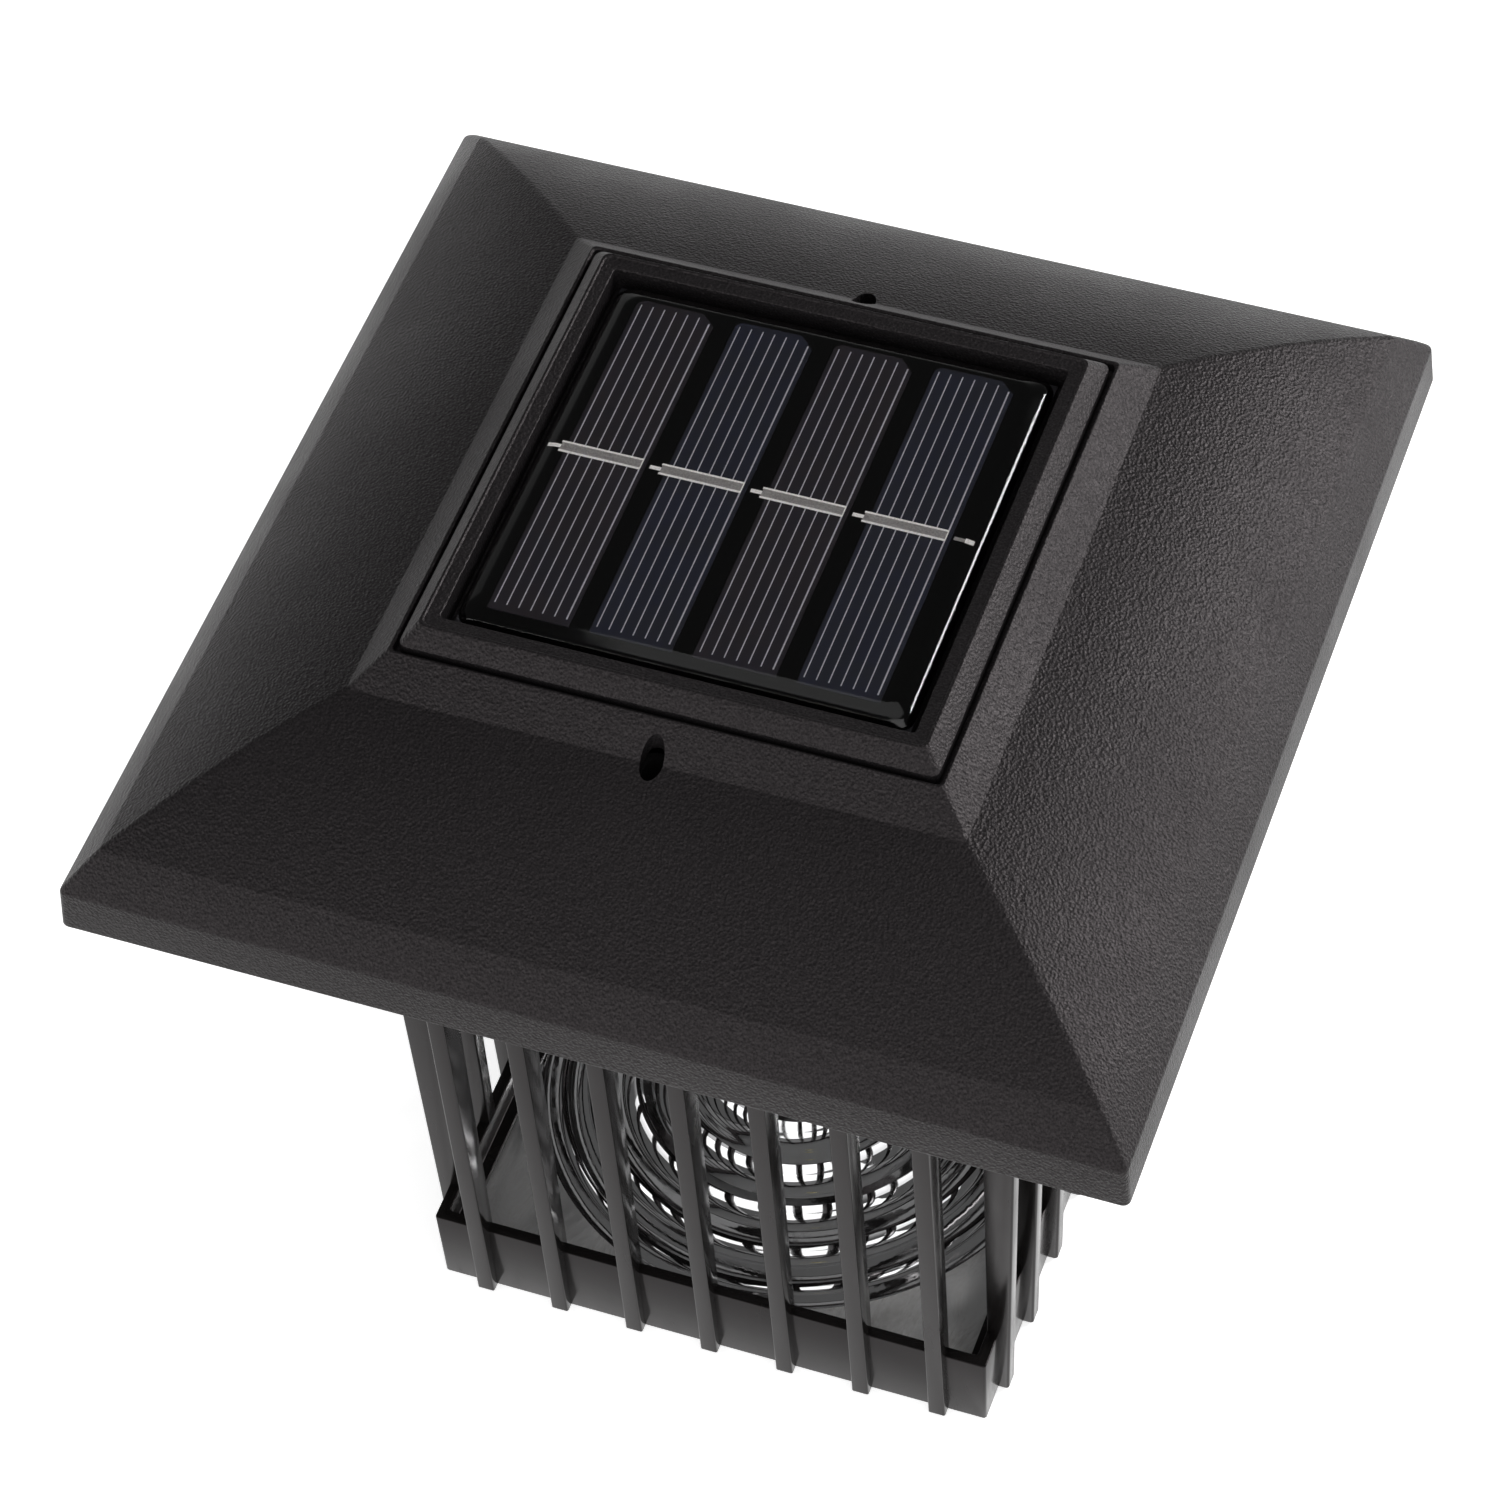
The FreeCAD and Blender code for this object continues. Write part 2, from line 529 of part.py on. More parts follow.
def build_battery_door():
    """Door plate with its neck and the barrel that turns on the pin."""
    body = new_body("battery_door")
    low = "Sizes.cover_low"
    top = "(Sizes.cover_low + Sizes.door_thick)"
    gap = "Sizes.door_gap"
    pad(body, lambda sketch: add_rectangle(
        sketch, "-%s + %s" % (HATCH_HALF, gap), "%s - %s" % (HATCH_HALF, gap),
        "%s + %s" % (HATCH_FRONT, gap), "%s - %s" % (HATCH_BACK, gap)), low, top)
    pad(body, lambda sketch: add_rectangle(
        sketch, "-Sizes.hinge_half_long", "Sizes.hinge_half_long",
        HATCH_BACK + " - Sizes.neck_overlap", "Sizes.hinge_y"),
        low, top)
    sketch = new_sketch(body, "YZ_Plane")
    add_circle(sketch, "Sizes.hinge_y", "Sizes.hinge_height", "Sizes.barrel")
    barrel = body.newObject("PartDesign::Pad", body.Name + "_barrel")
    barrel.Profile = sketch
    barrel.Midplane = True
    bind(barrel, Length="2 * Sizes.hinge_half_long")
    sketch = new_sketch(body, "YZ_Plane")
    add_circle(sketch, "Sizes.hinge_y", "Sizes.hinge_height", "Sizes.pin_radius + Sizes.clearance")
    bore = body.newObject("PartDesign::Pocket", body.Name + "_bore")
    bore.Profile = sketch
    bore.Midplane = True
    bind(bore, Length="2 * Sizes.hinge_half_long")


def build_door_pin():
    pin = doc.addObject("Part::Cylinder", "door_pin_rod")
    bind(pin, Radius="Sizes.pin_radius", Height="2 * Sizes.pin_half_long")
    pin.Placement = FreeCAD.Placement(V(0, 0, 0), FreeCAD.Rotation(UP, ALONG_X))
    pin.setExpression("Placement.Base.x", "-Sizes.pin_half_long")
    pin.setExpression("Placement.Base.y", "Sizes.hinge_y")
    pin.setExpression("Placement.Base.z", "Sizes.hinge_height")
    finish_part(pin, "door_pin")


# ---------------------------------------------------------------- battery and contacts

def build_battery():
    """AA cell lying along X, its positive end towards +X."""
    body = new_body("battery")
    radius = "Sizes.battery_radius"
    bevel = "Sizes.battery_bevel"
    low = "Sizes.battery_low"
    high = "Sizes.battery_high"
    revolve(body, [
        (low, "0"), (low, "%s - %s" % (radius, bevel)), ("%s + %s" % (low, bevel), radius),
        ("%s - %s" % (high, bevel), radius), (high, "%s - %s" % (radius, bevel)),
        (high, "Sizes.battery_nub"), ("Sizes.battery_nub_end", "Sizes.battery_nub"),
        ("Sizes.battery_nub_end", "0")], axis="H_Axis")
    body.setExpression("Placement.Base.y", "Sizes.box_y")
    body.setExpression("Placement.Base.z", "Sizes.battery_height")


def contact_plate(side):
    """Contact strip against the box's end wall, with a tag up through its ceiling."""
    wall = side * worth("Sizes.box_half_long")
    face = wall - side * worth("Sizes.contact_thick")
    left, right = min(wall, face), max(wall, face)
    middle = worth("Sizes.box_y")
    wide = worth("Sizes.contact_half_wide")
    tag = worth("Sizes.tag_half_wide")
    plate = solid_box(left, right, middle - wide, middle + wide,
                      worth("Sizes.contact_low"), worth("Sizes.contact_high"))
    strip = solid_box(left, right, middle - tag, middle + tag,
                      worth("Sizes.contact_high"), worth("Sizes.tag_top"))
    return plate.fuse(strip).removeSplitter()


def build_battery_plate():
    plain_feature("battery_plate", contact_plate(1))


def build_battery_spring():
    """Contact strip with a coil that reaches from it to the battery's flat end."""
    wire = worth("Sizes.coil_wire")
    plate = contact_plate(-1)
    start = plate.BoundBox.XMax + 0.5 * wire
    reach = worth("Sizes.battery_low") - 1.1 * wire - start
    radius = worth("Sizes.coil_radius")
    helix = Part.makeHelix(reach / worth("Sizes.coil_turns"), reach, radius)
    section = Part.Wire([Part.makeCircle(wire, V(radius, 0, 0), V(0, 1, 0))])
    coil = Part.Wire(helix.Edges).makePipeShell([section], True, True)
    coil.rotate(V(0, 0, 0), V(0, 1, 0), 90)
    coil.translate(V(start, worth("Sizes.box_y"), worth("Sizes.battery_height")))
    plain_feature("battery_spring", plate.fuse(coil))


# ---------------------------------------------------------------- circuit board and LED

CIRCUIT_TOP = "(Sizes.circuit_low + Sizes.circuit_thick)"


def build_circuit_board():
    low = "Sizes.circuit_low"
    board = level_box("circuit_blank", "-Sizes.circuit_half_long", "Sizes.circuit_half_long",
                      "Sizes.circuit_front", "Sizes.circuit_back", low, CIRCUIT_TOP)
    holes = []
    for side in ("", "-"):
        holes.append(upright_cylinder("screw_hole", side + "Sizes.standoff_x", "Sizes.standoff_y",
                                      "Sizes.board_screw_shank + 0.2", low + " - 1", CIRCUIT_TOP + " + 1"))
        holes.append(upright_cylinder("leg_hole", side + "Sizes.led_leg_x", "0",
                                      "Sizes.led_leg * 2", low + " - 1", CIRCUIT_TOP + " + 1"))
    finish_part(cut_from("circuit", board, holes), "circuit_board")


def build_board_screws():
    screw = screw_shape(worth("Sizes.board_screw_head"), worth("Sizes.board_screw_head_tall"),
                        worth("Sizes.board_screw_shank"), worth("Sizes.board_screw_long"),
                        worth("Sizes.board_recess"))
    top = worth(CIRCUIT_TOP)
    places = [V(side * worth("Sizes.standoff_x"), worth("Sizes.standoff_y"), top) for side in (-1, 1)]
    screws_at("board_screws", screw, places)


def build_driver_chip():
    chip = level_box(
        "chip_blank", "Sizes.chip_x - Sizes.chip_long / 2", "Sizes.chip_x + Sizes.chip_long / 2",
        "Sizes.chip_y - Sizes.chip_wide / 2", "Sizes.chip_y + Sizes.chip_wide / 2",
        CIRCUIT_TOP, CIRCUIT_TOP + " + Sizes.chip_tall")
    finish_part(chip, "driver_chip")


def build_inductor():
    drum = upright_cylinder(
        "inductor_drum", "Sizes.inductor_x", "Sizes.inductor_y", "Sizes.inductor_radius",
        CIRCUIT_TOP, CIRCUIT_TOP + " + Sizes.inductor_tall")
    finish_part(drum, "inductor")


def build_led():
    """Domed LED that points down through the cover, with two square legs up through the board."""
    body = new_body("led")
    radius = "Sizes.led_radius"
    flange_top = "(%s + Sizes.led_flange_thick)" % COVER_TOP
    dome = "(Sizes.led_tip + Sizes.led_radius)"
    turned = revolve(body, [
        ("0", flange_top), ("Sizes.led_flange", flange_top), ("Sizes.led_flange", COVER_TOP),
        (radius, COVER_TOP), (radius, dome), ("0.87 * " + radius, "Sizes.led_tip + 0.5 * " + radius),
        ("0.5 * " + radius, "Sizes.led_tip + 0.13 * " + radius), ("0", "Sizes.led_tip")])
    turned.Refine = True
    for side in ("", "-"):
        leg = side + "Sizes.led_leg_x"
        pad(body, lambda sketch: add_rectangle(
            sketch, leg + " - Sizes.led_leg", leg + " + Sizes.led_leg", "-Sizes.led_leg", "Sizes.led_leg"),
            flange_top, "Sizes.led_leg_top")


# ---------------------------------------------------------------- switch

STEM_WIDE = "(Sizes.knob_half_wide - 0.3)"
KNOB_REST = "(-Sizes.switch_travel / 2)"


def build_switch_body():
    """Housing above the cover, hollow below for the slider's stem."""
    body = new_body("switch_body")
    x = "Sizes.switch_x"
    pad(body, lambda sketch: add_rectangle(
        sketch, x + " - Sizes.switch_half_wide", x + " + Sizes.switch_half_wide",
        "-Sizes.switch_half_long", "Sizes.switch_half_long"), COVER_TOP, COVER_TOP + " + Sizes.switch_tall")
    room = "(Sizes.knob_half_long + Sizes.switch_travel / 2 + Sizes.knob_gap)"
    pocket(body, lambda sketch: add_rectangle(
        sketch, "%s - %s - Sizes.knob_gap" % (x, STEM_WIDE), "%s + %s + Sizes.knob_gap" % (x, STEM_WIDE),
        "-" + room, room), COVER_TOP, "Sizes.knob_stem_top + Sizes.knob_gap")


def build_switch_knob():
    """Slider in its off position, at -Y, with ribs across its finger face."""
    body = new_body("switch_knob")
    x = "Sizes.switch_x"
    pad(body, lambda sketch: add_rectangle(
        sketch, x + " - Sizes.knob_half_wide", x + " + Sizes.knob_half_wide",
        KNOB_REST + " - Sizes.knob_half_long", KNOB_REST + " + Sizes.knob_half_long"),
        "Sizes.knob_low", COVER_TOP + " - Sizes.knob_gap")
    pad(body, lambda sketch: add_rectangle(
        sketch, "%s - %s" % (x, STEM_WIDE), "%s + %s" % (x, STEM_WIDE),
        KNOB_REST + " - 0.6 * Sizes.knob_half_long", KNOB_REST + " + 0.6 * Sizes.knob_half_long"),
        COVER_TOP + " - Sizes.knob_gap", "Sizes.knob_stem_top")
    for index in range(int(worth("Sizes.knob_ribs"))):
        middle = "(%s + %d * 0.5 * Sizes.knob_half_long)" % (KNOB_REST, index - 1)
        pad(body, lambda sketch: add_rectangle(
            sketch, x + " - Sizes.knob_half_wide", x + " + Sizes.knob_half_wide",
            middle + " - Sizes.knob_rib", middle + " + Sizes.knob_rib"),
            "Sizes.knob_low - Sizes.knob_rib", "Sizes.knob_low")


# ---------------------------------------------------------------- leads

def lead_path(points):
    """Straight runs joined by tangent arcs, as large as the shorter of the two runs allows."""
    edges = []
    here = points[0]
    for index in range(1, len(points) - 1):
        corner = points[index]
        back = points[index - 1] - corner
        ahead = points[index + 1] - corner
        half_turn = (math.pi - back.getAngle(ahead)) / 2
        radius = 0.45 * min(back.Length, ahead.Length) / math.tan(half_turn)
        back.normalize()
        ahead.normalize()
        reach = radius * math.tan(half_turn)
        start = corner + back * reach
        end = corner + ahead * reach
        inward = back + ahead
        inward.normalize()
        middle = corner + inward * (radius / math.cos(half_turn) - radius)
        edges.append(Part.LineSegment(here, start).toShape())
        edges.append(Part.Arc(start, middle, end).toShape())
        here = end
    edges.append(Part.LineSegment(here, points[-1]).toShape())
    return Part.Wire(edges)


def build_lead(label, places):
    """Insulated wire along a route inside the roof."""
    points = [V(*place) for place in places]
    path = lead_path(points)
    radius = worth("Sizes.lead_radius")
    section = Part.Wire([Part.makeCircle(radius, points[0], points[1] - points[0])])
    lead = path.makePipeShell([section], True, False)
    expected = math.pi * radius ** 2 * path.Length
    assert abs(lead.Volume / expected - 1) < 0.01, label
    plain_feature(label, lead)


def build_panel_lead(label, side):
    """From the panel down through the roof's floor, across, and down to the board."""
    leave = side * worth("Sizes.panel_lead_x")
    arrive = side * worth("Sizes.panel_lead_end_x")
    aside = worth("Sizes.panel_lead_end_y")
    build_lead(label, [
        (leave, 0, worth(BOARD_LOW)),
        (leave, 0, worth("Sizes.panel_lead_bend")),
        (arrive, aside, worth("Sizes.panel_lead_knee")),
        (arrive, aside, worth(CIRCUIT_TOP))])


def build_battery_lead(label, side):
    """From a contact's tag above the battery box, forward and down to the board."""
    leave = side * worth("Sizes.box_half_long - Sizes.contact_thick / 2")
    arrive = side * worth("Sizes.battery_lead_end_x")
    joint = worth("Sizes.tag_top - Sizes.tag_joint")
    aside = worth("Sizes.battery_lead_end_y")
    build_lead(label, [
        (leave, worth("Sizes.box_y - Sizes.tag_half_wide"), joint),
        (leave, worth("Sizes.battery_lead_y"), joint),
        (arrive, aside, worth("Sizes.battery_lead_knee")),
        (arrive, aside, worth(CIRCUIT_TOP))])


def build_switch_lead(label, side):
    """From the switch's inner face along the cover, up over the board's edge and down to it."""
    leave = side * worth("Sizes.switch_lead_y")
    level = worth("Sizes.switch_lead_height")
    arrive = worth("Sizes.switch_lead_end_x")
    aside = worth("Sizes.switch_lead_end_y") + side * worth("Sizes.switch_lead_end_gap")
    build_lead(label, [
        (worth("Sizes.switch_x - Sizes.switch_half_wide"), leave, level),
        (worth("Sizes.switch_lead_bend_x"), leave, level),
        (arrive, aside, worth("Sizes.switch_lead_knee")),
        (arrive, aside, worth(CIRCUIT_TOP))])


def build_leads():
    for side, colour in ((1, "red"), (-1, "black")):
        build_panel_lead("panel_lead_" + colour, side)
        build_battery_lead("battery_lead_" + colour, side)
    for side, colour in ((1, "red"), (-1, "white")):
        build_switch_lead("switch_lead_" + colour, side)


# ---------------------------------------------------------------- cage and reflector

def build_cage_band():
    """Square skirt with a ledge inside that carries the reflector."""
    body = new_body("cage_band")
    square_frustums(body, "Pad", [("Sizes.band_half_low", "0"), ("Sizes.band_half_high", "Sizes.band_top")])
    pocket(body, lambda sketch: add_square(sketch, "Sizes.band_inner"),
           "Sizes.ledge_low + Sizes.ledge_thick", "Sizes.band_top")
    pocket(body, lambda sketch: add_square(sketch, "Sizes.ledge_inner"),
           "Sizes.ledge_low", "Sizes.ledge_low + Sizes.ledge_thick")
    pocket(body, lambda sketch: add_square(sketch, "Sizes.band_inner"), "0", "Sizes.ledge_low")


def slat_shape():
    """Slat on the -Y side at the middle: full depth above the skirt, thinner in front of it."""
    lean = math.tan(math.radians(worth("Sizes.slat_lean")))
    inner_lean = math.tan(math.radians(worth("Sizes.slat_inner_lean")))
    outer = worth("Sizes.slat_outer")
    top = worth("Sizes.ring_low")
    band = worth("Sizes.band_top")
    bevel = worth("Sizes.slat_bevel")
    half = worth("Sizes.slat_wide / 2")
    low_face = worth("Sizes.band_half_low")
    high_face = worth("Sizes.band_half_high")

    def face(height):
        return outer + lean * height

    inner = worth("Sizes.band_inner")
    profile = [(face(bevel), bevel), (face(top), top), (inner + inner_lean * (top - band), top),
               (inner, band), (high_face, band), (low_face, 0), (face(0) - bevel, 0)]
    corners = [V(-half, -reach, height) for reach, height in profile]
    side = Part.Face(Part.makePolygon(corners + corners[:1]))
    slat = side.extrude(V(2 * half, 0, 0))
    upright = [edge for edge in slat.Edges if edge.BoundBox.YMin < -outer + bevel
               and edge.BoundBox.ZLength > top / 2 and edge.BoundBox.XLength < 0.01
               and edge.BoundBox.YMax < -face(0) + bevel]
    return slat.makeFillet(bevel * 0.8, upright)


def build_cage_slats():
    """Seven slats on each of the four sides."""
    slat = slat_shape()
    count = int(worth("Sizes.slat_count"))
    pitch = worth("Sizes.slat_pitch")
    slats = []
    for quarter in range(4):
        for index in range(count):
            copy = slat.copy()
            copy.translate(V((index - (count - 1) / 2) * pitch, 0, 0))
            copy.rotate(V(0, 0, 0), UP, 90 * quarter)
            slats.append(copy)
    plain_feature("cage_slats", Part.makeCompound(slats))


def build_cage_top_ring():
    """Square ring that joins the slats under the cover, with a screw boss front and back."""
    body = new_body("cage_top_ring")
    pad(body, lambda sketch: add_square(sketch, "Sizes.ring_outer"), "Sizes.ring_low", "Sizes.cover_low")
    pocket(body, lambda sketch: add_square(sketch, "Sizes.ring_inner"), "Sizes.ring_low", "Sizes.cover_low")
    for side in ("", "-"):
        place = side + "Sizes.roof_screw_y"
        pad(body, lambda sketch: add_circle(sketch, "0", place, "Sizes.boss_radius"),
            "Sizes.ring_low", "Sizes.boss_high")
        pocket(body, lambda sketch: add_circle(sketch, "0", place, "Sizes.screw_shank + Sizes.clearance"),
               "Sizes.screw_seat - Sizes.screw_long - Sizes.hole_spare", "Sizes.boss_high")


def ring_corners(top):
    """Upper outline of the reflector's rings, from the tray in to the centre."""
    corners = [("Sizes.valley_start", top)]
    for index in range(int(worth("Sizes.rings"))):
        reach = "(Sizes.rings_radius - %d * Sizes.rings_pitch)" % index
        height = "(%s + Sizes.first_rise + %d * Sizes.ring_rise + %d * Sizes.rise_growth)" % (
            top, index, index ** 2)
        tall = "min(Sizes.flank_tall + %d * Sizes.flank_growth; Sizes.flank_most)" % index
        land = "Sizes.land" if index else "Sizes.first_land"
        corners.append(("%s + %s / tan(Sizes.flank_slope * 1deg)" % (reach, tall), height + " - " + tall))
        corners.append((reach, height))
        corners.append((reach + " - " + land, height))
    return corners[:-1] + [("0", corners[-1][1])]


def build_reflector():
    """Square tray with a round hole, filled by the thin shell of the rings."""
    body = new_body("reflector")
    low = "(Sizes.ledge_low + Sizes.ledge_thick)"
    top = "(Sizes.ledge_low + Sizes.ledge_thick + Sizes.tray_thick)"
    pad(body, lambda sketch: add_square(sketch, "Sizes.tray_half"), low, top)
    pocket(body, lambda sketch: add_circle(sketch, "0", "0", "Sizes.tray_hole"), low, top)
    upper = ring_corners(top)
    lower = [(reach, height + " - Sizes.tray_thick") for reach, height in reversed(upper)]
    revolve(body, upper + lower)


# ---------------------------------------------------------------- build, check and write

build_roof_cap()
build_roof_screws()
build_panel_seal()
build_panel_board()
solar_cells = build_solar_cells()
cell_ribbons = build_cell_ribbons()
build_panel_resin(solar_cells, cell_ribbons)
build_panel_frame()
build_under_cover()
build_cover_screws()
build_battery_door()
build_door_pin()
build_battery()
build_battery_plate()
build_battery_spring()
build_circuit_board()
build_board_screws()
build_driver_chip()
build_inductor()
build_led()
build_switch_body()
build_switch_knob()
build_leads()
build_cage_band()
build_cage_slats()
build_cage_top_ring()
build_reflector()
doc.recompute()

for item in doc.Objects:
    assert "Invalid" not in item.State and "Error" not in item.State, item.Label
    removes = item.TypeId in ("PartDesign::Pocket", "PartDesign::Groove")
    if removes:
        assert item.Shape.Volume < item.BaseFeature.Shape.Volume - 0.001, item.Label

os.makedirs("parts", exist_ok=True)
for item in parts:
    assert not item.Shape.isNull() and item.Shape.isValid(), item.Label
for item in parts:
    item.Shape.exportStep("parts/%s.step" % item.Label)
    print("%-20s %2d solids %10.1f mm3" % (item.Label, len(item.Shape.Solids), item.Shape.Volume))
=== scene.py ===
import math

import bmesh
import bpy
from mathutils import Matrix, Vector


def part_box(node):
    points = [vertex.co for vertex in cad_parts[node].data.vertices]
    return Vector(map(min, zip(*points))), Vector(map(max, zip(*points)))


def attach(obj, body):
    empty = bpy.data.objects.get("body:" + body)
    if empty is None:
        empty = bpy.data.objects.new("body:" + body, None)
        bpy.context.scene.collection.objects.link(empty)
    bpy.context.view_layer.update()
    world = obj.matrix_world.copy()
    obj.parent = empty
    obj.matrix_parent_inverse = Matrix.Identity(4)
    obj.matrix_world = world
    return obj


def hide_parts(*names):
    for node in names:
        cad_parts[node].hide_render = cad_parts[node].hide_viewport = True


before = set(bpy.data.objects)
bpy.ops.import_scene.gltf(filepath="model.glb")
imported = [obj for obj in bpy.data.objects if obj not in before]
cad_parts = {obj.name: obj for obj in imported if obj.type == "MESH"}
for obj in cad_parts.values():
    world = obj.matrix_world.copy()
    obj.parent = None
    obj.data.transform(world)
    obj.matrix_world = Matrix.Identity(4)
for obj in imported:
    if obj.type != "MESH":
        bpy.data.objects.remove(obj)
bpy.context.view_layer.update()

# Looks of the solar fence light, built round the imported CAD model. Metres, +Z up, the origin is the
# centre of the skirt's bottom edge, the front faces -Y. "Half" means half of a square's width.

MM = 0.001

# Four solar cells side by side, a little to the left of the middle.
CELL_COUNT = 4
CELL_PITCH = 15.5 * MM
CELLS_ASIDE = -0.8 * MM
CELL_THICK = 0.12 * MM

# Inner face of the skirt and of the cage above it, and height of the roof's upright rim.
SKIRT_INNER = 44.9 * MM
RIM_HEIGHT = 7.4 * MM

# The screw holes are this much longer from front to back than across.
HOLE_STRETCH = 1.65

# The black plastics reflect a little warmer than grey.
WARM_TINT = (1.0, 0.9, 0.92, 1.0)


# ---------------------------------------------------------------- node materials

class Shade:
    """Short calls for building one procedural material."""

    def __init__(self, name, roughness=0.5, metallic=0.0, colour=(0.02, 0.02, 0.02)):
        self.material = bpy.data.materials.new(name)
        self.material.use_nodes = True
        self.nodes = self.material.node_tree.nodes
        self.links = self.material.node_tree.links
        self.shader = self.nodes["Principled BSDF"]
        self.set("Roughness", roughness)
        self.set("Metallic", metallic)
        self.set("Base Color", (*colour, 1.0))
        self.place = self.nodes.new("ShaderNodeTexCoord").outputs["Object"]

    def set(self, socket, value):
        self.shader.inputs[socket].default_value = value

    def link(self, source, target):
        self.links.new(source, target)

    def drive(self, source, socket):
        self.links.new(source, self.shader.inputs[socket])

    def add(self, kind, **settings):
        node = self.nodes.new("ShaderNode" + kind)
        for key, value in settings.items():
            setattr(node, key, value)
        return node

    def noise(self, size, detail=3.0, roughness=0.5, stretch=(1, 1, 1), distortion=0.0):
        """Noise whose features are about size metres across."""
        mapping = self.add("Mapping")
        mapping.inputs["Scale"].default_value = stretch
        self.link(self.place, mapping.inputs["Vector"])
        node = self.add("TexNoise")
        node.inputs["Scale"].default_value = 1 / size
        node.inputs["Detail"].default_value = detail
        node.inputs["Roughness"].default_value = roughness
        node.inputs["Distortion"].default_value = distortion
        self.link(mapping.outputs[0], node.inputs["Vector"])
        return node.outputs["Fac"]

    def cells(self, size, smoothness):
        """Smoothed cells about size metres across."""
        node = self.add("TexVoronoi", feature="SMOOTH_F1")
        node.inputs["Scale"].default_value = 1 / size
        node.inputs["Smoothness"].default_value = smoothness
        self.link(self.place, node.inputs["Vector"])
        return node.outputs["Distance"]

    def spread(self, source, low, high, out_low, out_high):
        """Map source smoothly from low..high to out_low..out_high, and clamp it."""
        node = self.add("MapRange", interpolation_type="SMOOTHSTEP")
        limits = {"From Min": low, "From Max": high, "To Min": out_low, "To Max": out_high}
        for socket, value in limits.items():
            node.inputs[socket].default_value = value
        self.link(source, node.inputs["Value"])
        return node.outputs[0]

    def mix(self, factor, first, second):
        """Mix two colours, each an output or three numbers."""
        node = self.add("Mix", data_type="RGBA")
        self.link(factor, node.inputs["Factor"])
        for socket, value in ((node.inputs[6], first), (node.inputs[7], second)):
            if isinstance(value, tuple):
                socket.default_value = (*value, 1.0)
            else:
                self.link(value, socket)
        return node.outputs[2]

    def maths(self, operation, first, second):
        node = self.add("Math", operation=operation)
        for socket, value in ((node.inputs[0], first), (node.inputs[1], second)):
            if isinstance(value, (int, float)):
                socket.default_value = value
            else:
                self.link(value, socket)
        return node.outputs[0]

    def bump(self, height, depth, strength=1.0, under=None):
        """Bump of the given depth in metres. under is a bump output that this one lies on."""
        node = self.add("Bump")
        node.inputs["Distance"].default_value = depth
        node.inputs["Strength"].default_value = strength
        self.link(height, node.inputs["Height"])
        if under is not None:
            self.link(under, node.inputs["Normal"])
        self.drive(node.outputs[0], "Normal")
        return node.outputs[0]


def grained_plastic(name, colour, shine):
    """Matt black plastic with a moulded leather-like grain, faint dust and handling marks.

    shine is the average specular level. It varies from pit to pit of the grain.
    """
    shade = Shade(name, 0.5)
    shade.set("Specular Tint", WARM_TINT)
    coarse = shade.cells(0.5 * MM, 0.3)
    fine = shade.noise(0.3 * MM, 3.0, 0.6)
    pits = shade.noise(0.33 * MM, 2.0, 0.6)
    shade.drive(shade.spread(pits, 0.34, 0.66, shine * 0.65, shine * 1.35), "Specular IOR Level")
    grain = shade.maths("ADD", coarse, shade.maths("MULTIPLY", fine, 0.8))
    shade.bump(grain, 0.13 * MM, 0.85)
    wide = shade.noise(34 * MM, 3.0, 0.6)
    shade.drive(shade.spread(wide, 0.3, 0.7, 0.37, 0.47), "Roughness")
    dust = shade.spread(shade.noise(1.1 * MM, 2.0, 0.7), 0.73, 0.78, 0.0, 0.35)
    shade.drive(shade.mix(dust, colour, (0.04, 0.037, 0.037)), "Base Color")
    return shade.material


def satin_plastic(name, colour, roughness, specular=0.5):
    """Smooth moulded plastic with a faint waviness and handling marks."""
    shade = Shade(name, roughness, colour=colour)
    shade.set("Specular IOR Level", specular)
    marks = shade.noise(9 * MM, 5.0, 0.65)
    shade.drive(shade.spread(marks, 0.35, 0.75, roughness * 0.85, roughness * 1.25), "Roughness")
    lighter = tuple(channel * 1.5 + 0.004 for channel in colour)
    specks = shade.spread(shade.noise(0.9 * MM, 2.0, 0.7), 0.74, 0.79, 0.0, 0.5)
    shade.drive(shade.mix(specks, colour, lighter), "Base Color")
    shade.bump(shade.noise(0.5 * MM, 3.0), 0.03 * MM, 0.5)
    return shade.material


def gloss_plastic():
    """Glossy black plastic of the cage, with flow lines down the mould and fine scratches."""
    shade = Shade("cage_gloss_plastic", 0.2, colour=(0.007, 0.0064, 0.0062))
    shade.set("Specular IOR Level", 0.23)
    shade.set("Specular Tint", WARM_TINT)
    smears = shade.noise(5 * MM, 4.0, 0.6, (1, 1, 0.25))
    shade.drive(shade.spread(smears, 0.35, 0.75, 0.16, 0.3), "Roughness")
    specks = shade.spread(shade.noise(0.7 * MM, 2.0, 0.7), 0.75, 0.8, 0.0, 0.6)
    shade.drive(shade.mix(specks, (0.007, 0.0064, 0.0062), (0.05, 0.048, 0.046)), "Base Color")
    waves = shade.bump(shade.noise(3 * MM, 2.0, 0.5, (1, 1, 0.2)), 0.05 * MM, 0.5)
    shade.bump(shade.noise(0.25 * MM, 2.0), 0.006 * MM, 0.5, waves)
    return shade.material


def chrome():
    """Metallised plastic: bright, with slight waviness, haze and rubbed spots."""
    shade = Shade("reflector_chrome", 0.05, 1.0, (0.86, 0.86, 0.87))
    haze = shade.noise(6 * MM, 5.0, 0.7)
    shade.drive(shade.spread(haze, 0.45, 0.8, 0.03, 0.16), "Roughness")
    tarnish = shade.spread(shade.noise(14 * MM, 4.0, 0.65), 0.5, 0.85, 0.0, 0.5)
    shade.drive(shade.mix(tarnish, (0.86, 0.86, 0.87), (0.55, 0.54, 0.53)), "Base Color")
    shade.bump(shade.noise(4 * MM, 2.0), 0.03 * MM, 0.5)
    return shade.material


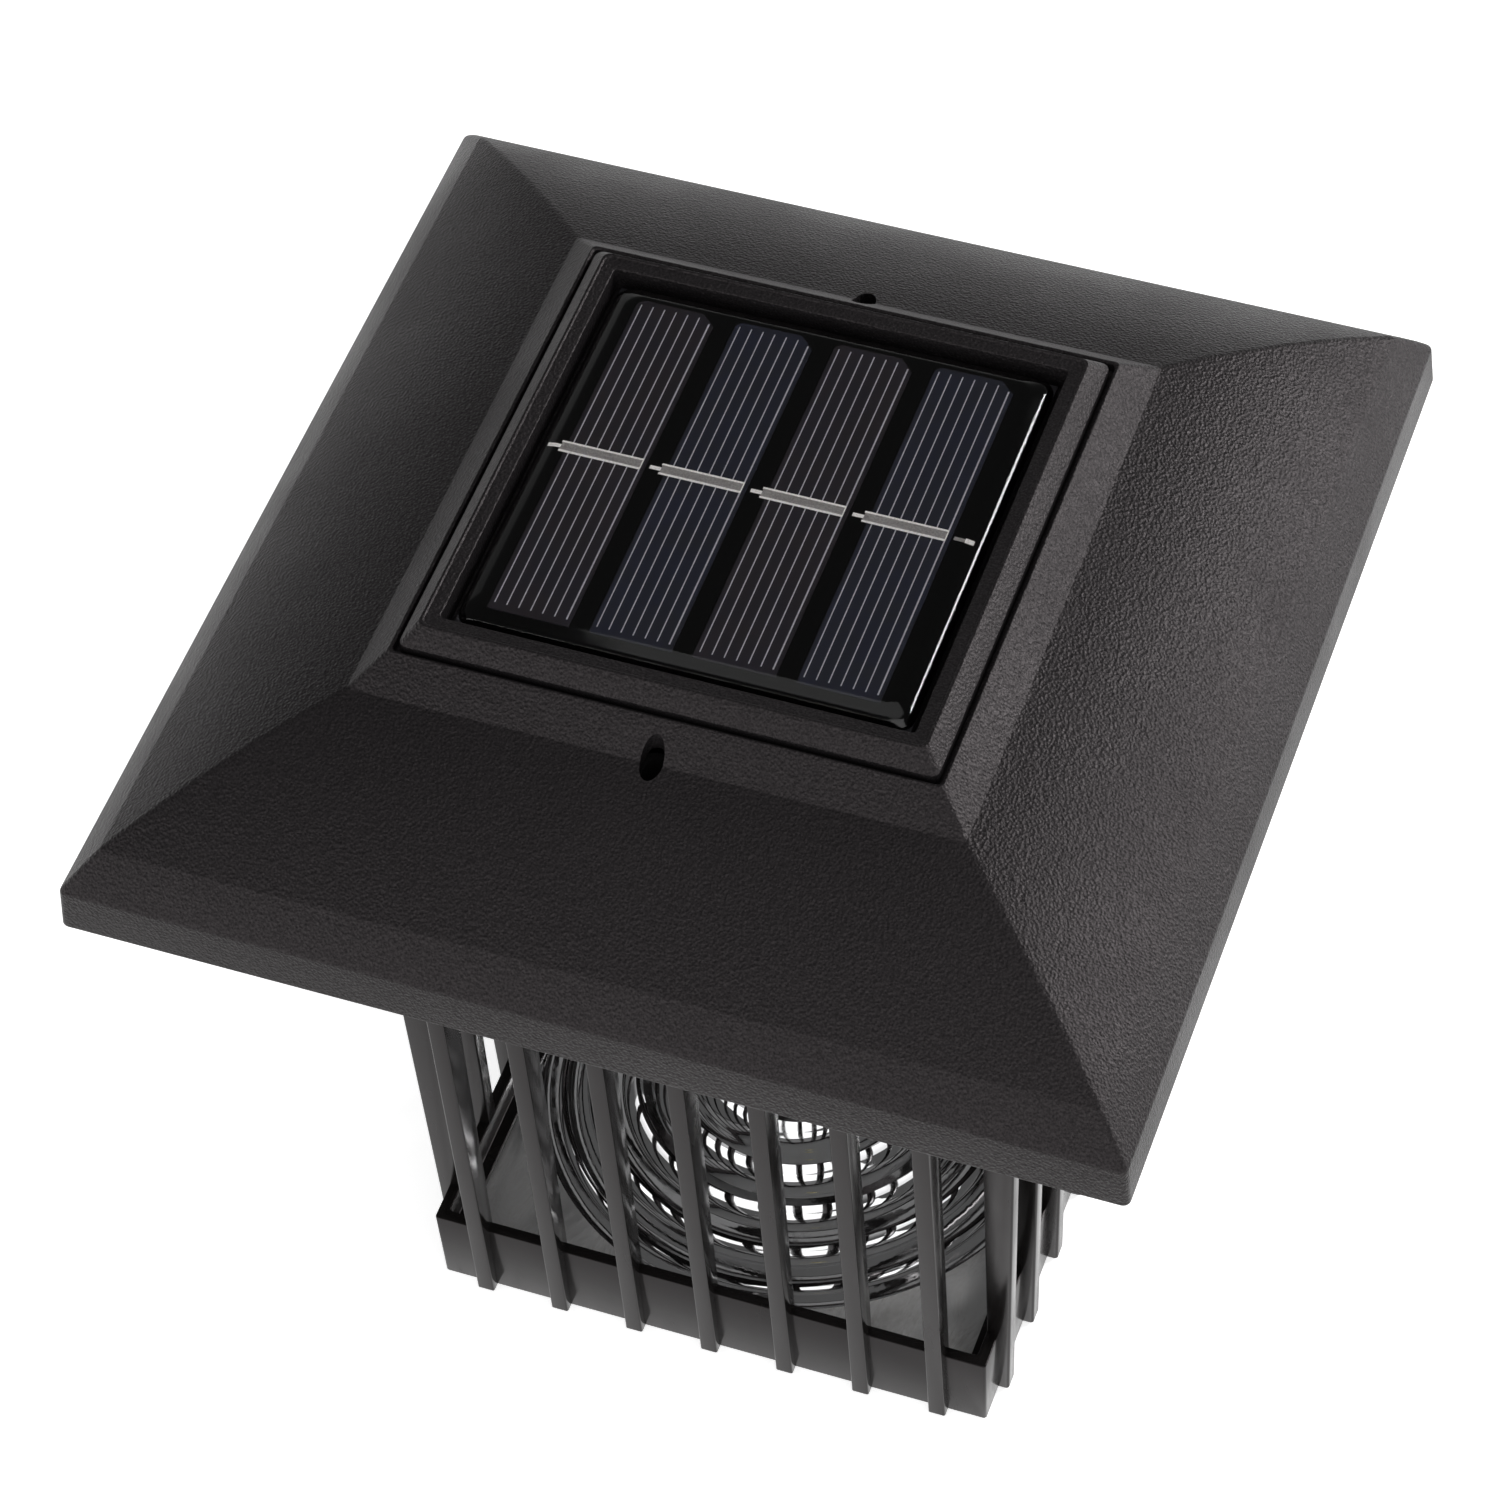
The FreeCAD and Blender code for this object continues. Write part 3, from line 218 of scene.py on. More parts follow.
def tray_chrome():
    """Metallised plastic of the level tray: duller, with streaks from the mould."""
    shade = Shade("tray_chrome", 0.35, 1.0, (0.8, 0.79, 0.78))
    streaks = shade.noise(12 * MM, 5.0, 0.75, (1, 0.45, 1), 1.5)
    shade.drive(shade.spread(streaks, 0.35, 0.7, 0.4, 0.7), "Roughness")
    dull = shade.spread(streaks, 0.4, 0.75, 0.0, 1.0)
    shade.drive(shade.mix(dull, (0.85, 0.85, 0.85), (0.5, 0.49, 0.48)), "Base Color")
    return shade.material


def silicon(name, first, second):
    """Dark silicon, mottled between two colours."""
    shade = Shade(name, 0.35)
    mottle = shade.noise(7 * MM, 4.0, 0.6)
    shade.drive(shade.mix(shade.spread(mottle, 0.35, 0.7, 0.0, 1.0), first, second), "Base Color")
    shade.bump(shade.noise(0.12 * MM, 2.0), 0.01 * MM, 0.6)
    return shade.material


def board_coating():
    """Smooth dark coating of the panel's board, a little purple."""
    shade = Shade("panel_backing", 0.35)
    tone = shade.noise(18 * MM, 2.0)
    shade.drive(shade.mix(tone, (0.014, 0.0135, 0.016), (0.022, 0.021, 0.025)), "Base Color")
    return shade.material


def silver(name, colour, roughness, glow=0.0):
    """Printed silver or tinned ribbon with a grainy, worn surface.

    A small glow makes up for the light that is lost in the resin above it.
    """
    shade = Shade(name, roughness, 0.1, colour)
    shade.set("Emission Color", (*colour, 1.0))
    shade.set("Emission Strength", glow)
    grain = shade.noise(0.3 * MM, 4.0, 0.7)
    darker = tuple(channel * 0.7 for channel in colour)
    shade.drive(shade.mix(shade.spread(grain, 0.35, 0.65, 0.0, 1.0), darker, colour), "Base Color")
    shade.bump(grain, 0.05 * MM, 0.6)
    return shade.material


def clear_resin():
    """Clear cast resin with a faintly uneven surface."""
    shade = Shade("panel_clear_resin", 0.03, colour=(0.98, 0.985, 1.0))
    shade.set("Transmission Weight", 1.0)
    shade.set("IOR", 1.5)
    smears = shade.noise(11 * MM, 4.0, 0.6)
    shade.drive(shade.spread(smears, 0.4, 0.75, 0.02, 0.09), "Roughness")
    shade.bump(shade.noise(16 * MM, 2.0), 0.12 * MM, 0.4)
    return shade.material


def brushed_metal(name, colour, roughness=0.3):
    """Plated steel with fine turning lines."""
    shade = Shade(name, roughness, 1.0, colour)
    lines = shade.noise(0.5 * MM, 3.0, 0.6, (1, 1, 6))
    shade.drive(shade.spread(lines, 0.3, 0.7, roughness * 0.7, roughness * 1.4), "Roughness")
    shade.bump(lines, 0.01 * MM, 0.5)
    return shade.material


FLOOR_GLOW = 0.72


def studio_floor():
    """Plain pale paper, lit from below."""
    shade = Shade("studio_paper", 0.9, colour=(0.93, 0.93, 0.93))
    shade.set("Specular IOR Level", 0.1)
    shade.set("Emission Color", (1.0, 1.0, 1.0, 1.0))
    shade.set("Emission Strength", FLOOR_GLOW)
    shade.drive(shade.mix(shade.noise(0.4, 2.0), (0.925, 0.925, 0.925), (0.935, 0.935, 0.935)), "Base Color")
    return shade.material


GRAIN = grained_plastic("roof_grained_plastic", (0.0095, 0.0086, 0.0092), 0.34)
# The upright rim is the same roof plastic, given a darker colour and less shine: painted shade where the rim
# would catch floor light.
RIM_PAINTED_SHADE = grained_plastic("rim_grained_plastic_painted_shade", (0.006, 0.0055, 0.0056), 0.26)
SATIN = satin_plastic("satin_black_plastic", (0.011, 0.0105, 0.0108), 0.4, 0.4)
COVER = satin_plastic("cover_grey_plastic", (0.12, 0.12, 0.12), 0.45, 0.5)
GLOSS = gloss_plastic()
CHROME = chrome()
TRAY = tray_chrome()
BLUE_SILICON = silicon("cell_silicon_blue", (0.012, 0.014, 0.033), (0.014, 0.015, 0.026))
PLUM_SILICON = silicon("cell_silicon_plum", (0.019, 0.0125, 0.017), (0.014, 0.011, 0.02))
FINGER = silver("cell_finger_silver", (0.8, 0.8, 0.84), 0.4)
BUS_EDGE = silver("bus_edge_silver", (0.97, 0.94, 0.9), 0.5, 0.22)
BUS = silver("bus_solder", (0.5, 0.47, 0.45), 0.5)
RESIN = clear_resin()
STEEL = brushed_metal("plated_steel", (0.6, 0.6, 0.6))
BACKING = board_coating()


# ---------------------------------------------------------------- mesh helpers

def rounded_outline(points, radii, steps=5):
    """Round the corners of an open line of (x, y) points. radii gives one radius per inner corner."""
    line = [Vector(points[0])]
    for before, corner, after, radius in zip(points, points[1:], points[2:], radii):
        corner = Vector(corner)
        back = (Vector(before) - corner).normalized()
        ahead = (Vector(after) - corner).normalized()
        half_angle = back.angle(ahead) / 2
        if radius <= 0 or half_angle > math.radians(89.5):
            line.append(corner)
            continue
        reach = radius / math.tan(half_angle)
        start = corner + back * reach
        centre = corner + (back + ahead).normalized() * (radius / math.sin(half_angle))
        first = start - centre
        turn = math.pi - 2 * half_angle
        sign = 1 if back.x * ahead.y - back.y * ahead.x < 0 else -1
        for step in range(steps + 1):
            angle = sign * turn * step / steps
            rotation = Matrix.Rotation(angle, 2)
            line.append(centre + rotation @ first)
    line.append(Vector(points[-1]))
    return line


def square_loop(mesh, half, corner, height, steps):
    """Vertices of a square with rounded corners at one height, anticlockwise from the right side."""
    corner = min(corner, half * 0.99)
    loop = []
    for quarter in range(4):
        centre = Matrix.Rotation(quarter * math.pi / 2, 2) @ Vector((half - corner, half - corner))
        for step in range(steps + 1):
            angle = (quarter + step / steps) * math.pi / 2
            loop.append(mesh.verts.new((centre.x + corner * math.cos(angle),
                                        centre.y + corner * math.sin(angle), height)))
    return loop


def bridge(mesh, lower, upper, index=0):
    """Quads between two loops of equal length."""
    count = len(lower)
    for here in range(count):
        following = (here + 1) % count
        face = mesh.faces.new((lower[here], lower[following], upper[following], upper[here]))
        face.material_index = index
        face.smooth = True


def square_sweep(mesh, profile, corner, steps=4, closed=False, pick=None):
    """Carry a profile of (half, height) points round a square.

    corner(half) is the radius of the square's corners there. pick(number) is the material of the
    stretch that starts at that point of the profile.
    """
    loops = [square_loop(mesh, half, corner(half), height, steps) for half, height in profile]
    for number, (lower, upper) in enumerate(zip(loops, loops[1:])):
        bridge(mesh, lower, upper, pick(number) if pick else 0)
    if closed:
        bridge(mesh, loops[-1], loops[0])
    return loops


def round_sweep(mesh, profile, segments, centre=Vector((0, 0, 0))):
    """Turn a profile of (radius, height) points round an upright axis. A zero radius closes to a point."""
    rings = []
    for radius, height in profile:
        if radius < 1e-7:
            rings.append([mesh.verts.new(centre + Vector((0, 0, height)))])
            continue
        rings.append([mesh.verts.new(centre + Vector((radius * math.cos(2 * math.pi * k / segments),
                                                      radius * math.sin(2 * math.pi * k / segments),
                                                      height))) for k in range(segments)])
    for lower, upper in zip(rings, rings[1:]):
        for here in range(segments):
            following = (here + 1) % segments
            if len(lower) == 1:
                corners = (lower[0], upper[following], upper[here])
            elif len(upper) == 1:
                corners = (lower[here], lower[following], upper[0])
            else:
                corners = (lower[here], lower[following], upper[following], upper[here])
            face = mesh.faces.new(corners)
            face.smooth = True
    return rings


def add_box(mesh, low, high, index=0):
    """Box between two corners, as its own shell in the mesh."""
    corners = [mesh.verts.new((x, y, z)) for z in (low[2], high[2])
               for x, y in ((low[0], low[1]), (high[0], low[1]), (high[0], high[1]), (low[0], high[1]))]
    faces = [(3, 2, 1, 0), (4, 5, 6, 7), (0, 1, 5, 4), (1, 2, 6, 5), (2, 3, 7, 6), (3, 0, 4, 7)]
    for face in faces:
        mesh.faces.new([corners[k] for k in face]).material_index = index


def make_piece(name, mesh, materials, nodes=(), smooth_angle=30):
    """Turn a bmesh into a piece of the lamp's body that stands for the given CAD nodes."""
    bmesh.ops.recalc_face_normals(mesh, faces=mesh.faces)
    data = bpy.data.meshes.new(name)
    mesh.to_mesh(data)
    mesh.free()
    for material in materials:
        data.materials.append(material)
    piece = bpy.data.objects.new(name, data)
    bpy.context.collection.objects.link(piece)
    for face in data.polygons:
        face.use_smooth = True
    data.set_sharp_from_angle(angle=math.radians(smooth_angle))
    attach(piece, "lamp")
    if nodes:
        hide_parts(*nodes)
    return piece


def bevel_mesh(mesh, width, segments=2, angle=40):
    """Round every edge of a bmesh that is sharper than angle."""
    sharp = [edge for edge in mesh.edges
             if len(edge.link_faces) == 2 and edge.calc_face_angle() > math.radians(angle)]
    bmesh.ops.bevel(mesh, geom=sharp, offset=width, segments=segments, profile=0.5, affect="EDGES",
                    clamp_overlap=True)


# ---------------------------------------------------------------- roof

def shallow_arc(start, end, sag, steps):
    """Points after start and before end on a shallow arc whose middle sinks inwards by sag."""
    along = Vector(end) - Vector(start)
    inward = Vector((-along.y, along.x)).normalized()
    shares = [step / steps for step in range(1, steps)]
    return [Vector(start) + along * share + inward * (4 * sag * share * (1 - share)) for share in shares]


def roof_profile():
    """The roof's section as (half, height) points from the rim's inner edge, over the top, and back."""
    low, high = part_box("roof_cap")
    half = high.x
    base = low.z
    crown = high.z
    well_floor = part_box("panel_seal")[0].z
    well = half - 39.1 * MM
    wall = 2.0 * MM
    rim = (half - 0.5 * MM, base + RIM_HEIGHT)
    shoulder = (half - 5.6 * MM, base + 13.1 * MM)
    slope_top = (half - 33.8 * MM, base + 26.6 * MM)
    crown_edge = (half - 38.7 * MM, crown)
    band = shallow_arc(rim, shoulder, -0.12 * MM, 3)
    slope = shallow_arc(shoulder, slope_top, -1.25 * MM, 10)
    outer = [(half - wall, base), (half, base), rim, *band, shoulder, *slope, slope_top, crown_edge,
             (well, crown - 0.3 * MM), (well, well_floor)]
    radii = [0.35 * MM, 0.9 * MM, *[0] * len(band), 1.8 * MM, *[0] * len(slope),
             0.6 * MM, 0.25 * MM, 0.1 * MM, 0]
    line = rounded_outline(outer, radii, 6)
    inside = [(6 * MM, well_floor), (6 * MM, well_floor - wall), (half - 36.6 * MM, well_floor - 3 * MM),
              (half - 34.9 * MM, base + 24.9 * MM), (half - 19.4 * MM, base + 19.0 * MM),
              (half - 6.9 * MM, base + 11.6 * MM), (half - 2.5 * MM, base + 5.4 * MM)]
    return line + [Vector(point) for point in inside]


def build_roof():
    """Pyramid roof as one closed shell, with drilled screw holes and the posts below them."""
    profile = roof_profile()
    base = profile[0].y
    half = max(point.x for point in profile)
    mesh = bmesh.new()

    def corner(half_here):
        return 1.1 * MM if half_here > half - 1.2 * MM else 0.8 * MM

    def pick(number):
        # Faces of the upright rim take the darker copy of the roof plastic, which is painted shade.
        on_rim = profile[number + 1].y < base + RIM_HEIGHT and profile[number].x > half - 3 * MM
        return 1 if on_rim else 0

    square_sweep(mesh, profile, corner, 4, True, pick)
    piece = make_piece("roof_shell", mesh, [GRAIN, RIM_PAINTED_SHADE], ["roof_cap"])
    drill_roof(piece)


def stretch_bore(rings, centre, bore):
    """Make those rings that have the bore's radius longer from front to back."""
    for ring in rings:
        if abs((ring[0].co - centre).to_2d().length - bore) > 1e-6:
            continue
        for vertex in ring:
            vertex.co.y = centre.y + (vertex.co.y - centre.y) * HOLE_STRETCH


def drill_roof(piece):
    """Cut the two screw holes through the roof, front and back, and add the posts below them."""
    bore = 1.7 * MM
    tap = 1.05 * MM
    post = 3.75 * MM
    post_tall = 11.5 * MM
    post_foot = 3 * MM
    screw_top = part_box("roof_screws")[1]
    reach = screw_top.y - 1.6 * MM
    seat = screw_top.z - 1.4 * MM
    cutter_mesh = bmesh.new()
    for side in (-1, 1):
        centre = Vector((0, side * reach, 0))
        ends = [(bore, screw_top.z), (bore, screw_top.z + 30 * MM)]
        rings = round_sweep(cutter_mesh, ends, 40, centre)
        stretch_bore(rings, centre, bore)
        for ring in rings:
            cutter_mesh.faces.new(ring)
    bmesh.ops.recalc_face_normals(cutter_mesh, faces=cutter_mesh.faces)
    data = bpy.data.meshes.new("hole_cutter")
    cutter_mesh.to_mesh(data)
    cutter_mesh.free()
    cutter = bpy.data.objects.new("hole_cutter", data)
    bpy.context.collection.objects.link(cutter)
    modifier = piece.modifiers.new("holes", "BOOLEAN")
    modifier.object = cutter
    modifier.operation = "DIFFERENCE"
    modifier.solver = "EXACT"
    with bpy.context.temp_override(object=piece, active_object=piece, selected_objects=[piece]):
        bpy.ops.object.modifier_apply(modifier=modifier.name)
    bpy.data.objects.remove(cutter, do_unlink=True)
    piece.data.set_sharp_from_angle(angle=math.radians(30))
    mesh = bmesh.new()
    for side in (-1, 1):
        centre = Vector((0, side * reach, 0))
        section = [(post, seat + post_tall), (post, seat - post_foot), (tap, seat - post_foot), (tap, seat),
                   (bore, seat), (bore, seat + post_tall), (post, seat + post_tall)]
        stretch_bore(round_sweep(mesh, section, 40, centre), centre, bore)
    bmesh.ops.remove_doubles(mesh, verts=mesh.verts, dist=1e-6)
    make_piece("roof_screw_posts", mesh, [SATIN])


# ---------------------------------------------------------------- solar panel

def build_panel_frame():
    """Bezel: steep outer facet, thin raised line, level top, and a deep gap round the resin."""
    low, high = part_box("panel_frame")
    outer = high.x - 0.35 * MM
    ridge = high.x - 2.9 * MM
    inner = high.x - 5.2 * MM
    points = [(outer, low.z), (outer, high.z - 2.7 * MM), (ridge + 0.2 * MM, high.z),
              (ridge - 0.15 * MM, high.z), (ridge - 0.35 * MM, high.z - 0.2 * MM),
              (inner, high.z - 0.3 * MM), (inner, low.z)]
    profile = rounded_outline(points, [0.35 * MM, 0.15 * MM, 0.08 * MM, 0.1 * MM, 0.25 * MM], 3)
    mesh = bmesh.new()

    def corner(half):
        return 1.3 * MM if half > inner + 1 * MM else 0.6 * MM

    square_sweep(mesh, profile, corner, 5, True)
    make_piece("panel_bezel", mesh, [GRAIN], ["panel_frame"])


def build_resin():
    """Cast resin: a slight dome, then a shallow and a steep facet down to the edge."""
    low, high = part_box("panel_resin")
    half = high.x
    crown = 0.12 * MM
    top = high.z - crown
    steep_wide = 0.75 * MM
    steep_tall = 0.95 * MM
    shallow_wide = 2.0 * MM
    shallow_tall = 0.93 * MM
    margin = 0.03 * MM
    edge = [(half, low.z), (half, top - shallow_tall - steep_tall), (half - steep_wide, top - shallow_tall),
            (half - steep_wide - shallow_wide, top), (half - 6 * MM, top + margin)]
    line = rounded_outline(edge, [0.3 * MM, 1.6 * MM, 2.2 * MM], 8)
    line += [Vector((half * share, high.z - margin - crown * share ** 2)) for share in (0.8, 0.6, 0.4, 0.2)]
    mesh = bmesh.new()
    loops = square_sweep(mesh, line, lambda half_here: min(2.6 * MM, half_here * 0.3), 8)
    mesh.faces.new(loops[-1])
    mesh.faces.new(list(reversed(loops[0])))
    make_piece("panel_resin_cast", mesh, [RESIN], ["panel_resin"], smooth_angle=60)


def cell_centre(number):
    """Place of a cell's middle from left to right. Cells are numbered from the left."""
    return CELLS_ASIDE + (number - (CELL_COUNT - 1) / 2) * CELL_PITCH


def build_cells():
    """Four silicon plates with cut corners and seven printed fingers each."""
    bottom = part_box("solar_cells")[0].z
    half_wide = 6.2 * MM
    half_long = 31 * MM
    back = 0.7 * MM
    chamfer = 2.2 * MM
    small_chamfer = chamfer * 0.4
    top = bottom + CELL_THICK
    fingers = 7
    finger_pitch = 1.82 * MM
    finger_tall = 0.02 * MM
    gap = 0.9 * MM
    shorter = 0.8 * MM
    plates = bmesh.new()
    for number in range(CELL_COUNT):
        centre = cell_centre(number)
        front_end = back - half_long
        back_end = back + half_long
        outline = [(centre - half_wide, front_end), (centre + half_wide, front_end),
                   (centre + half_wide, back_end - chamfer), (centre + half_wide - chamfer, back_end),
                   (centre - half_wide + small_chamfer, back_end),
                   (centre - half_wide, back_end - small_chamfer)]
        below = [plates.verts.new((x, y, bottom)) for x, y in outline]
        above = [plates.verts.new((x, y, top)) for x, y in outline]
        plates.faces.new(list(reversed(below)))
        plates.faces.new(above)
        bridge(plates, below, above)
        plates.faces.ensure_lookup_table()
        for face in plates.faces[-(len(outline) + 1):]:
            face.material_index = 2 * (number % 2)
        for line in range(fingers):
            x = centre + (line - (fingers - 1) / 2) * finger_pitch
            last = line == fingers - 1
            end = back_end - gap - (shorter if last else 0)
            thick = 0.12 * MM if last else 0.09 * MM
            add_box(plates, (x - thick, front_end + gap, top), (x + thick, end, top + finger_tall), 1)
    make_piece("solar_cell_plates", plates, [PLUM_SILICON, FINGER, BLUE_SILICON], ["solar_cells"])


def build_buses():
    """Across each cell a grey soldered ribbon between two bright printed lines, and a tab to the next."""
    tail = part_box("cell_ribbons")[1].x
    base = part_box("solar_cells")[0].z + CELL_THICK
    back = 1.1 * MM
    edge_apart = 0.88 * MM
    edge_half = 0.17 * MM
    mesh = bmesh.new()

    def strip(left, right, front, rear, thick, index):
        add_box(mesh, (left, back + front, base), (right, back + rear, base + thick), index)

    for number in range(CELL_COUNT):
        centre = cell_centre(number)
        left = centre - 7.0 * MM
        right = centre + 5.4 * MM
        strip(left, right, -0.75 * MM, 0.75 * MM, 0.12 * MM, 1)
        for side in (-1, 1):
            line = side * edge_apart
            strip(left - 0.1 * MM, right + 0.12 * MM, line - edge_half, line + edge_half, 0.14 * MM, 0)
        strip(right, right + 0.14 * MM, -0.8 * MM, 0.8 * MM, 0.14 * MM, 0)
        strip(left - 1.7 * MM, left, -0.4 * MM, 0.25 * MM, 0.1 * MM, 0)
    strip(tail, tail + 2.7 * MM, -0.45 * MM, 0.15 * MM, 0.12 * MM, 1)
    strip(tail + 1.6 * MM, tail + 2.7 * MM, -0.5 * MM, 0.3 * MM, 0.16 * MM, 0)
    bevel_mesh(mesh, 0.02 * MM, 1)
    make_piece("cell_bus_ribbons", mesh, [BUS_EDGE, BUS], ["cell_ribbons"])


# ---------------------------------------------------------------- cage and reflector

def build_skirt():
    """Square skirt with its inner ledge."""
    low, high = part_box("cage_band")
    top = high.z
    outer_low = high.x - 0.25 * MM
    inner = SKIRT_INNER
    ledge = inner - 2.0 * MM
    ledge_top = top - 4.8 * MM
    ledge_bottom = top - 6.0 * MM
    points = [(inner, low.z), (outer_low, low.z), (high.x, top), (inner, top), (inner, ledge_top),
              (ledge, ledge_top), (ledge, ledge_bottom), (inner, ledge_bottom)]
    profile = rounded_outline(points, [0.25 * MM, 0.25 * MM, 0.25 * MM, 0.2 * MM, 0.2 * MM, 0.2 * MM], 3)
    mesh = bmesh.new()
    square_sweep(mesh, profile, lambda half: 0.5 * MM, 4, True)
    make_piece("skirt", mesh, [GLOSS], ["cage_band"])


def slat_section(mesh, width, profile):
    """One slat: its outline of (y, z) points, carried across its width."""
    left = [mesh.verts.new((-width / 2, y, z)) for y, z in profile]
    right = [mesh.verts.new((width / 2, y, z)) for y, z in profile]
    mesh.faces.new(left)
    mesh.faces.new(list(reversed(right)))
    bridge(mesh, right, left)


def build_slats():
    """Seven slats a side that lean outwards as they rise, with rounded edges."""
    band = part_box("cage_band")[1]
    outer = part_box("cage_slats")[1]
    lean = math.tan(math.radians(1.5))
    face_low = outer.x - lean * outer.z
    sunk = band.z - 0.3 * MM
    per_side = 7
    pitch = 12.94 * MM
    reaches = [(face_low, 0.45 * MM), (outer.x, outer.z), (SKIRT_INNER + 0.37 * MM, outer.z),
               (SKIRT_INNER, sunk), (band.x - 0.4 * MM, sunk), (band.x - 0.6 * MM, 0.0),
               (face_low - 0.4 * MM, 0.0)]
    profile = [(-reach, height) for reach, height in reaches]
    mesh = bmesh.new()
    slat_section(mesh, 2.8 * MM, profile)
    bmesh.ops.recalc_face_normals(mesh, faces=mesh.faces)
    bevel_mesh(mesh, 0.28 * MM, 3, 30)
    template = bpy.data.meshes.new("slat_template")
    mesh.to_mesh(template)
    mesh.free()
    group = bmesh.new()
    for quarter in range(4):
        for number in range(per_side):
            before = len(group.verts)
            group.from_mesh(template)
            group.verts.ensure_lookup_table()
            fresh = group.verts[before:]
            shift = Matrix.Translation(((number - (per_side - 1) / 2) * pitch, 0, 0))
            turn = Matrix.Rotation(quarter * math.pi / 2, 4, "Z")
            bmesh.ops.transform(group, matrix=turn @ shift, verts=fresh)
    bpy.data.meshes.remove(template)
    make_piece("slats", group, [GLOSS], ["cage_slats"])


def ring_profile(top):
    """Rings of the reflector from the tray in to the centre: hollow flank, sharp edge and level land."""
    rings = 6
    steps = 6
    edge_slope = math.radians(62)
    section = [Vector((44.0 * MM, top)), Vector((42.2 * MM, top))]
    for index in range(rings):
        reach = (39.3 - 6.35 * index) * MM
        height = top + (0.5 + 1.1 * index + 0.27 * index ** 2) * MM
        tall = min(1.0 + 0.6 * index, 2.9) * MM
        radius = tall / (1 - math.cos(edge_slope))
        start = reach + radius * math.sin(edge_slope)
        for step in range(steps + 1):
            angle = edge_slope * step / steps
            section.append(Vector((start - radius * math.sin(angle),
                                   height - tall + radius * (1 - math.cos(angle)))))
        land = (1.4 if index else 3.4) * MM
        section.append(Vector((reach - land, height)))
    section[-1] = Vector((0, section[-1].y))
    return section


def build_reflector():
    """Square tray whose middle is turned into rings that climb to the centre."""
    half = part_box("reflector")[1].x
    thick = 1.2 * MM
    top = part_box("cage_band")[0].z + 9.5 * MM
    profile = ring_profile(top)
    mesh = bmesh.new()
    segments = 160
    rings = round_sweep(mesh, profile, segments)
    under = round_sweep(mesh, [Vector((point.x, point.y - thick)) for point in profile], segments)
    outlines = []
    for ring in (rings[0], under[0]):
        outline = []
        for vertex in ring:
            direction = vertex.co.to_2d()
            scale = half / max(abs(direction.x), abs(direction.y))
            outline.append(mesh.verts.new((direction.x * scale, direction.y * scale, vertex.co.z)))
        bridge(mesh, outline, ring, 1)
        outlines.append(outline)
    bridge(mesh, outlines[1], outlines[0], 1)
    make_piece("reflector_tray", mesh, [CHROME, TRAY], ["reflector"], smooth_angle=40)


# ---------------------------------------------------------------- CAD nodes that keep their shape

def dress_nodes():
    """Procedural materials for the CAD nodes that stay as they are."""
    dark_board = satin_plastic("solder_mask", (0.01, 0.03, 0.018), 0.35)
    looks = {
        COVER: ["under_cover", "battery_door"],
        GLOSS: ["cage_top_ring"],
        STEEL: ["roof_screws", "cover_screws", "board_screws", "door_pin", "battery_spring", "battery_plate"],
        BACKING: ["panel_board", "panel_seal"],
        dark_board: ["circuit_board"],
        satin_plastic("battery_sleeve", (0.03, 0.16, 0.07), 0.28): ["battery"],
        satin_plastic("component_black", (0.02, 0.02, 0.02), 0.45):
            ["driver_chip", "inductor", "switch_body"],
        satin_plastic("knob_grey", (0.2, 0.2, 0.21), 0.4): ["switch_knob"],
        satin_plastic("wire_red", (0.35, 0.02, 0.015), 0.4):
            ["panel_lead_red", "battery_lead_red", "switch_lead_red"],
        satin_plastic("wire_black", (0.02, 0.02, 0.02), 0.4): ["panel_lead_black", "battery_lead_black"],
        satin_plastic("wire_white", (0.7, 0.7, 0.68), 0.4): ["switch_lead_white"],
        led_lens(): ["led"],
    }
    for material, nodes in looks.items():
        for node in nodes:
            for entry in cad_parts[node].material_slots:
                entry.material = material


def led_lens():
    """Clear lens with the warm phosphor showing through it."""
    shade = Shade("led_lens", 0.08, colour=(0.95, 0.9, 0.6))
    shade.set("Transmission Weight", 0.7)
    shade.drive(shade.mix(shade.noise(2 * MM), (0.95, 0.9, 0.6), (0.95, 0.85, 0.45)), "Base Color")
    return shade.material


# ---------------------------------------------------------------- studio

# Angles are in degrees, the azimuth runs from the front towards the right. Lens and sensor are in mm.
CAMERA_AIM = Vector((-4.8, 0.0, 96.9)) * MM
CAMERA_AZIMUTH = 23.34
CAMERA_ELEVATION = 51.43
CAMERA_ROLL = -4.77
CAMERA_DISTANCE = 0.7984
CAMERA_LENS = 125.3
CAMERA_SENSOR = 36.0


def build_camera():
    """Long lens, high on the front right."""
    data = bpy.data.cameras.new("camera")
    data.lens = CAMERA_LENS
    data.sensor_width = CAMERA_SENSOR
    data.clip_start = 0.01
    camera = bpy.data.objects.new("camera", data)
    bpy.context.collection.objects.link(camera)
    azimuth = math.radians(CAMERA_AZIMUTH)
    elevation = math.radians(CAMERA_ELEVATION)
    back = Vector((math.sin(azimuth) * math.cos(elevation), -math.cos(azimuth) * math.cos(elevation),
                   math.sin(elevation)))
    camera.location = CAMERA_AIM + back * CAMERA_DISTANCE
    turn = (-back).to_track_quat("-Z", "Y")
    roll = Matrix.Rotation(math.radians(CAMERA_ROLL), 4, "Z")
    camera.rotation_euler = (turn.to_matrix().to_4x4() @ roll).to_euler()
    bpy.context.scene.camera = camera


def build_floor():
    """Lit white table: plain paper over a light box, just below the light's bottom edge."""
    mesh = bmesh.new()
    size = 3.0
    drop = 0.2 * MM
    corners = [mesh.verts.new((x * size, y * size, 0)) for x, y in ((-1, -1), (1, -1), (1, 1), (-1, 1))]
    mesh.faces.new(corners)
    data = bpy.data.meshes.new("studio_floor")
    mesh.to_mesh(data)
    mesh.free()
    data.materials.append(studio_floor())
    floor = bpy.data.objects.new("studio_floor", data)
    bpy.context.collection.objects.link(floor)
    floor.location.z = -drop


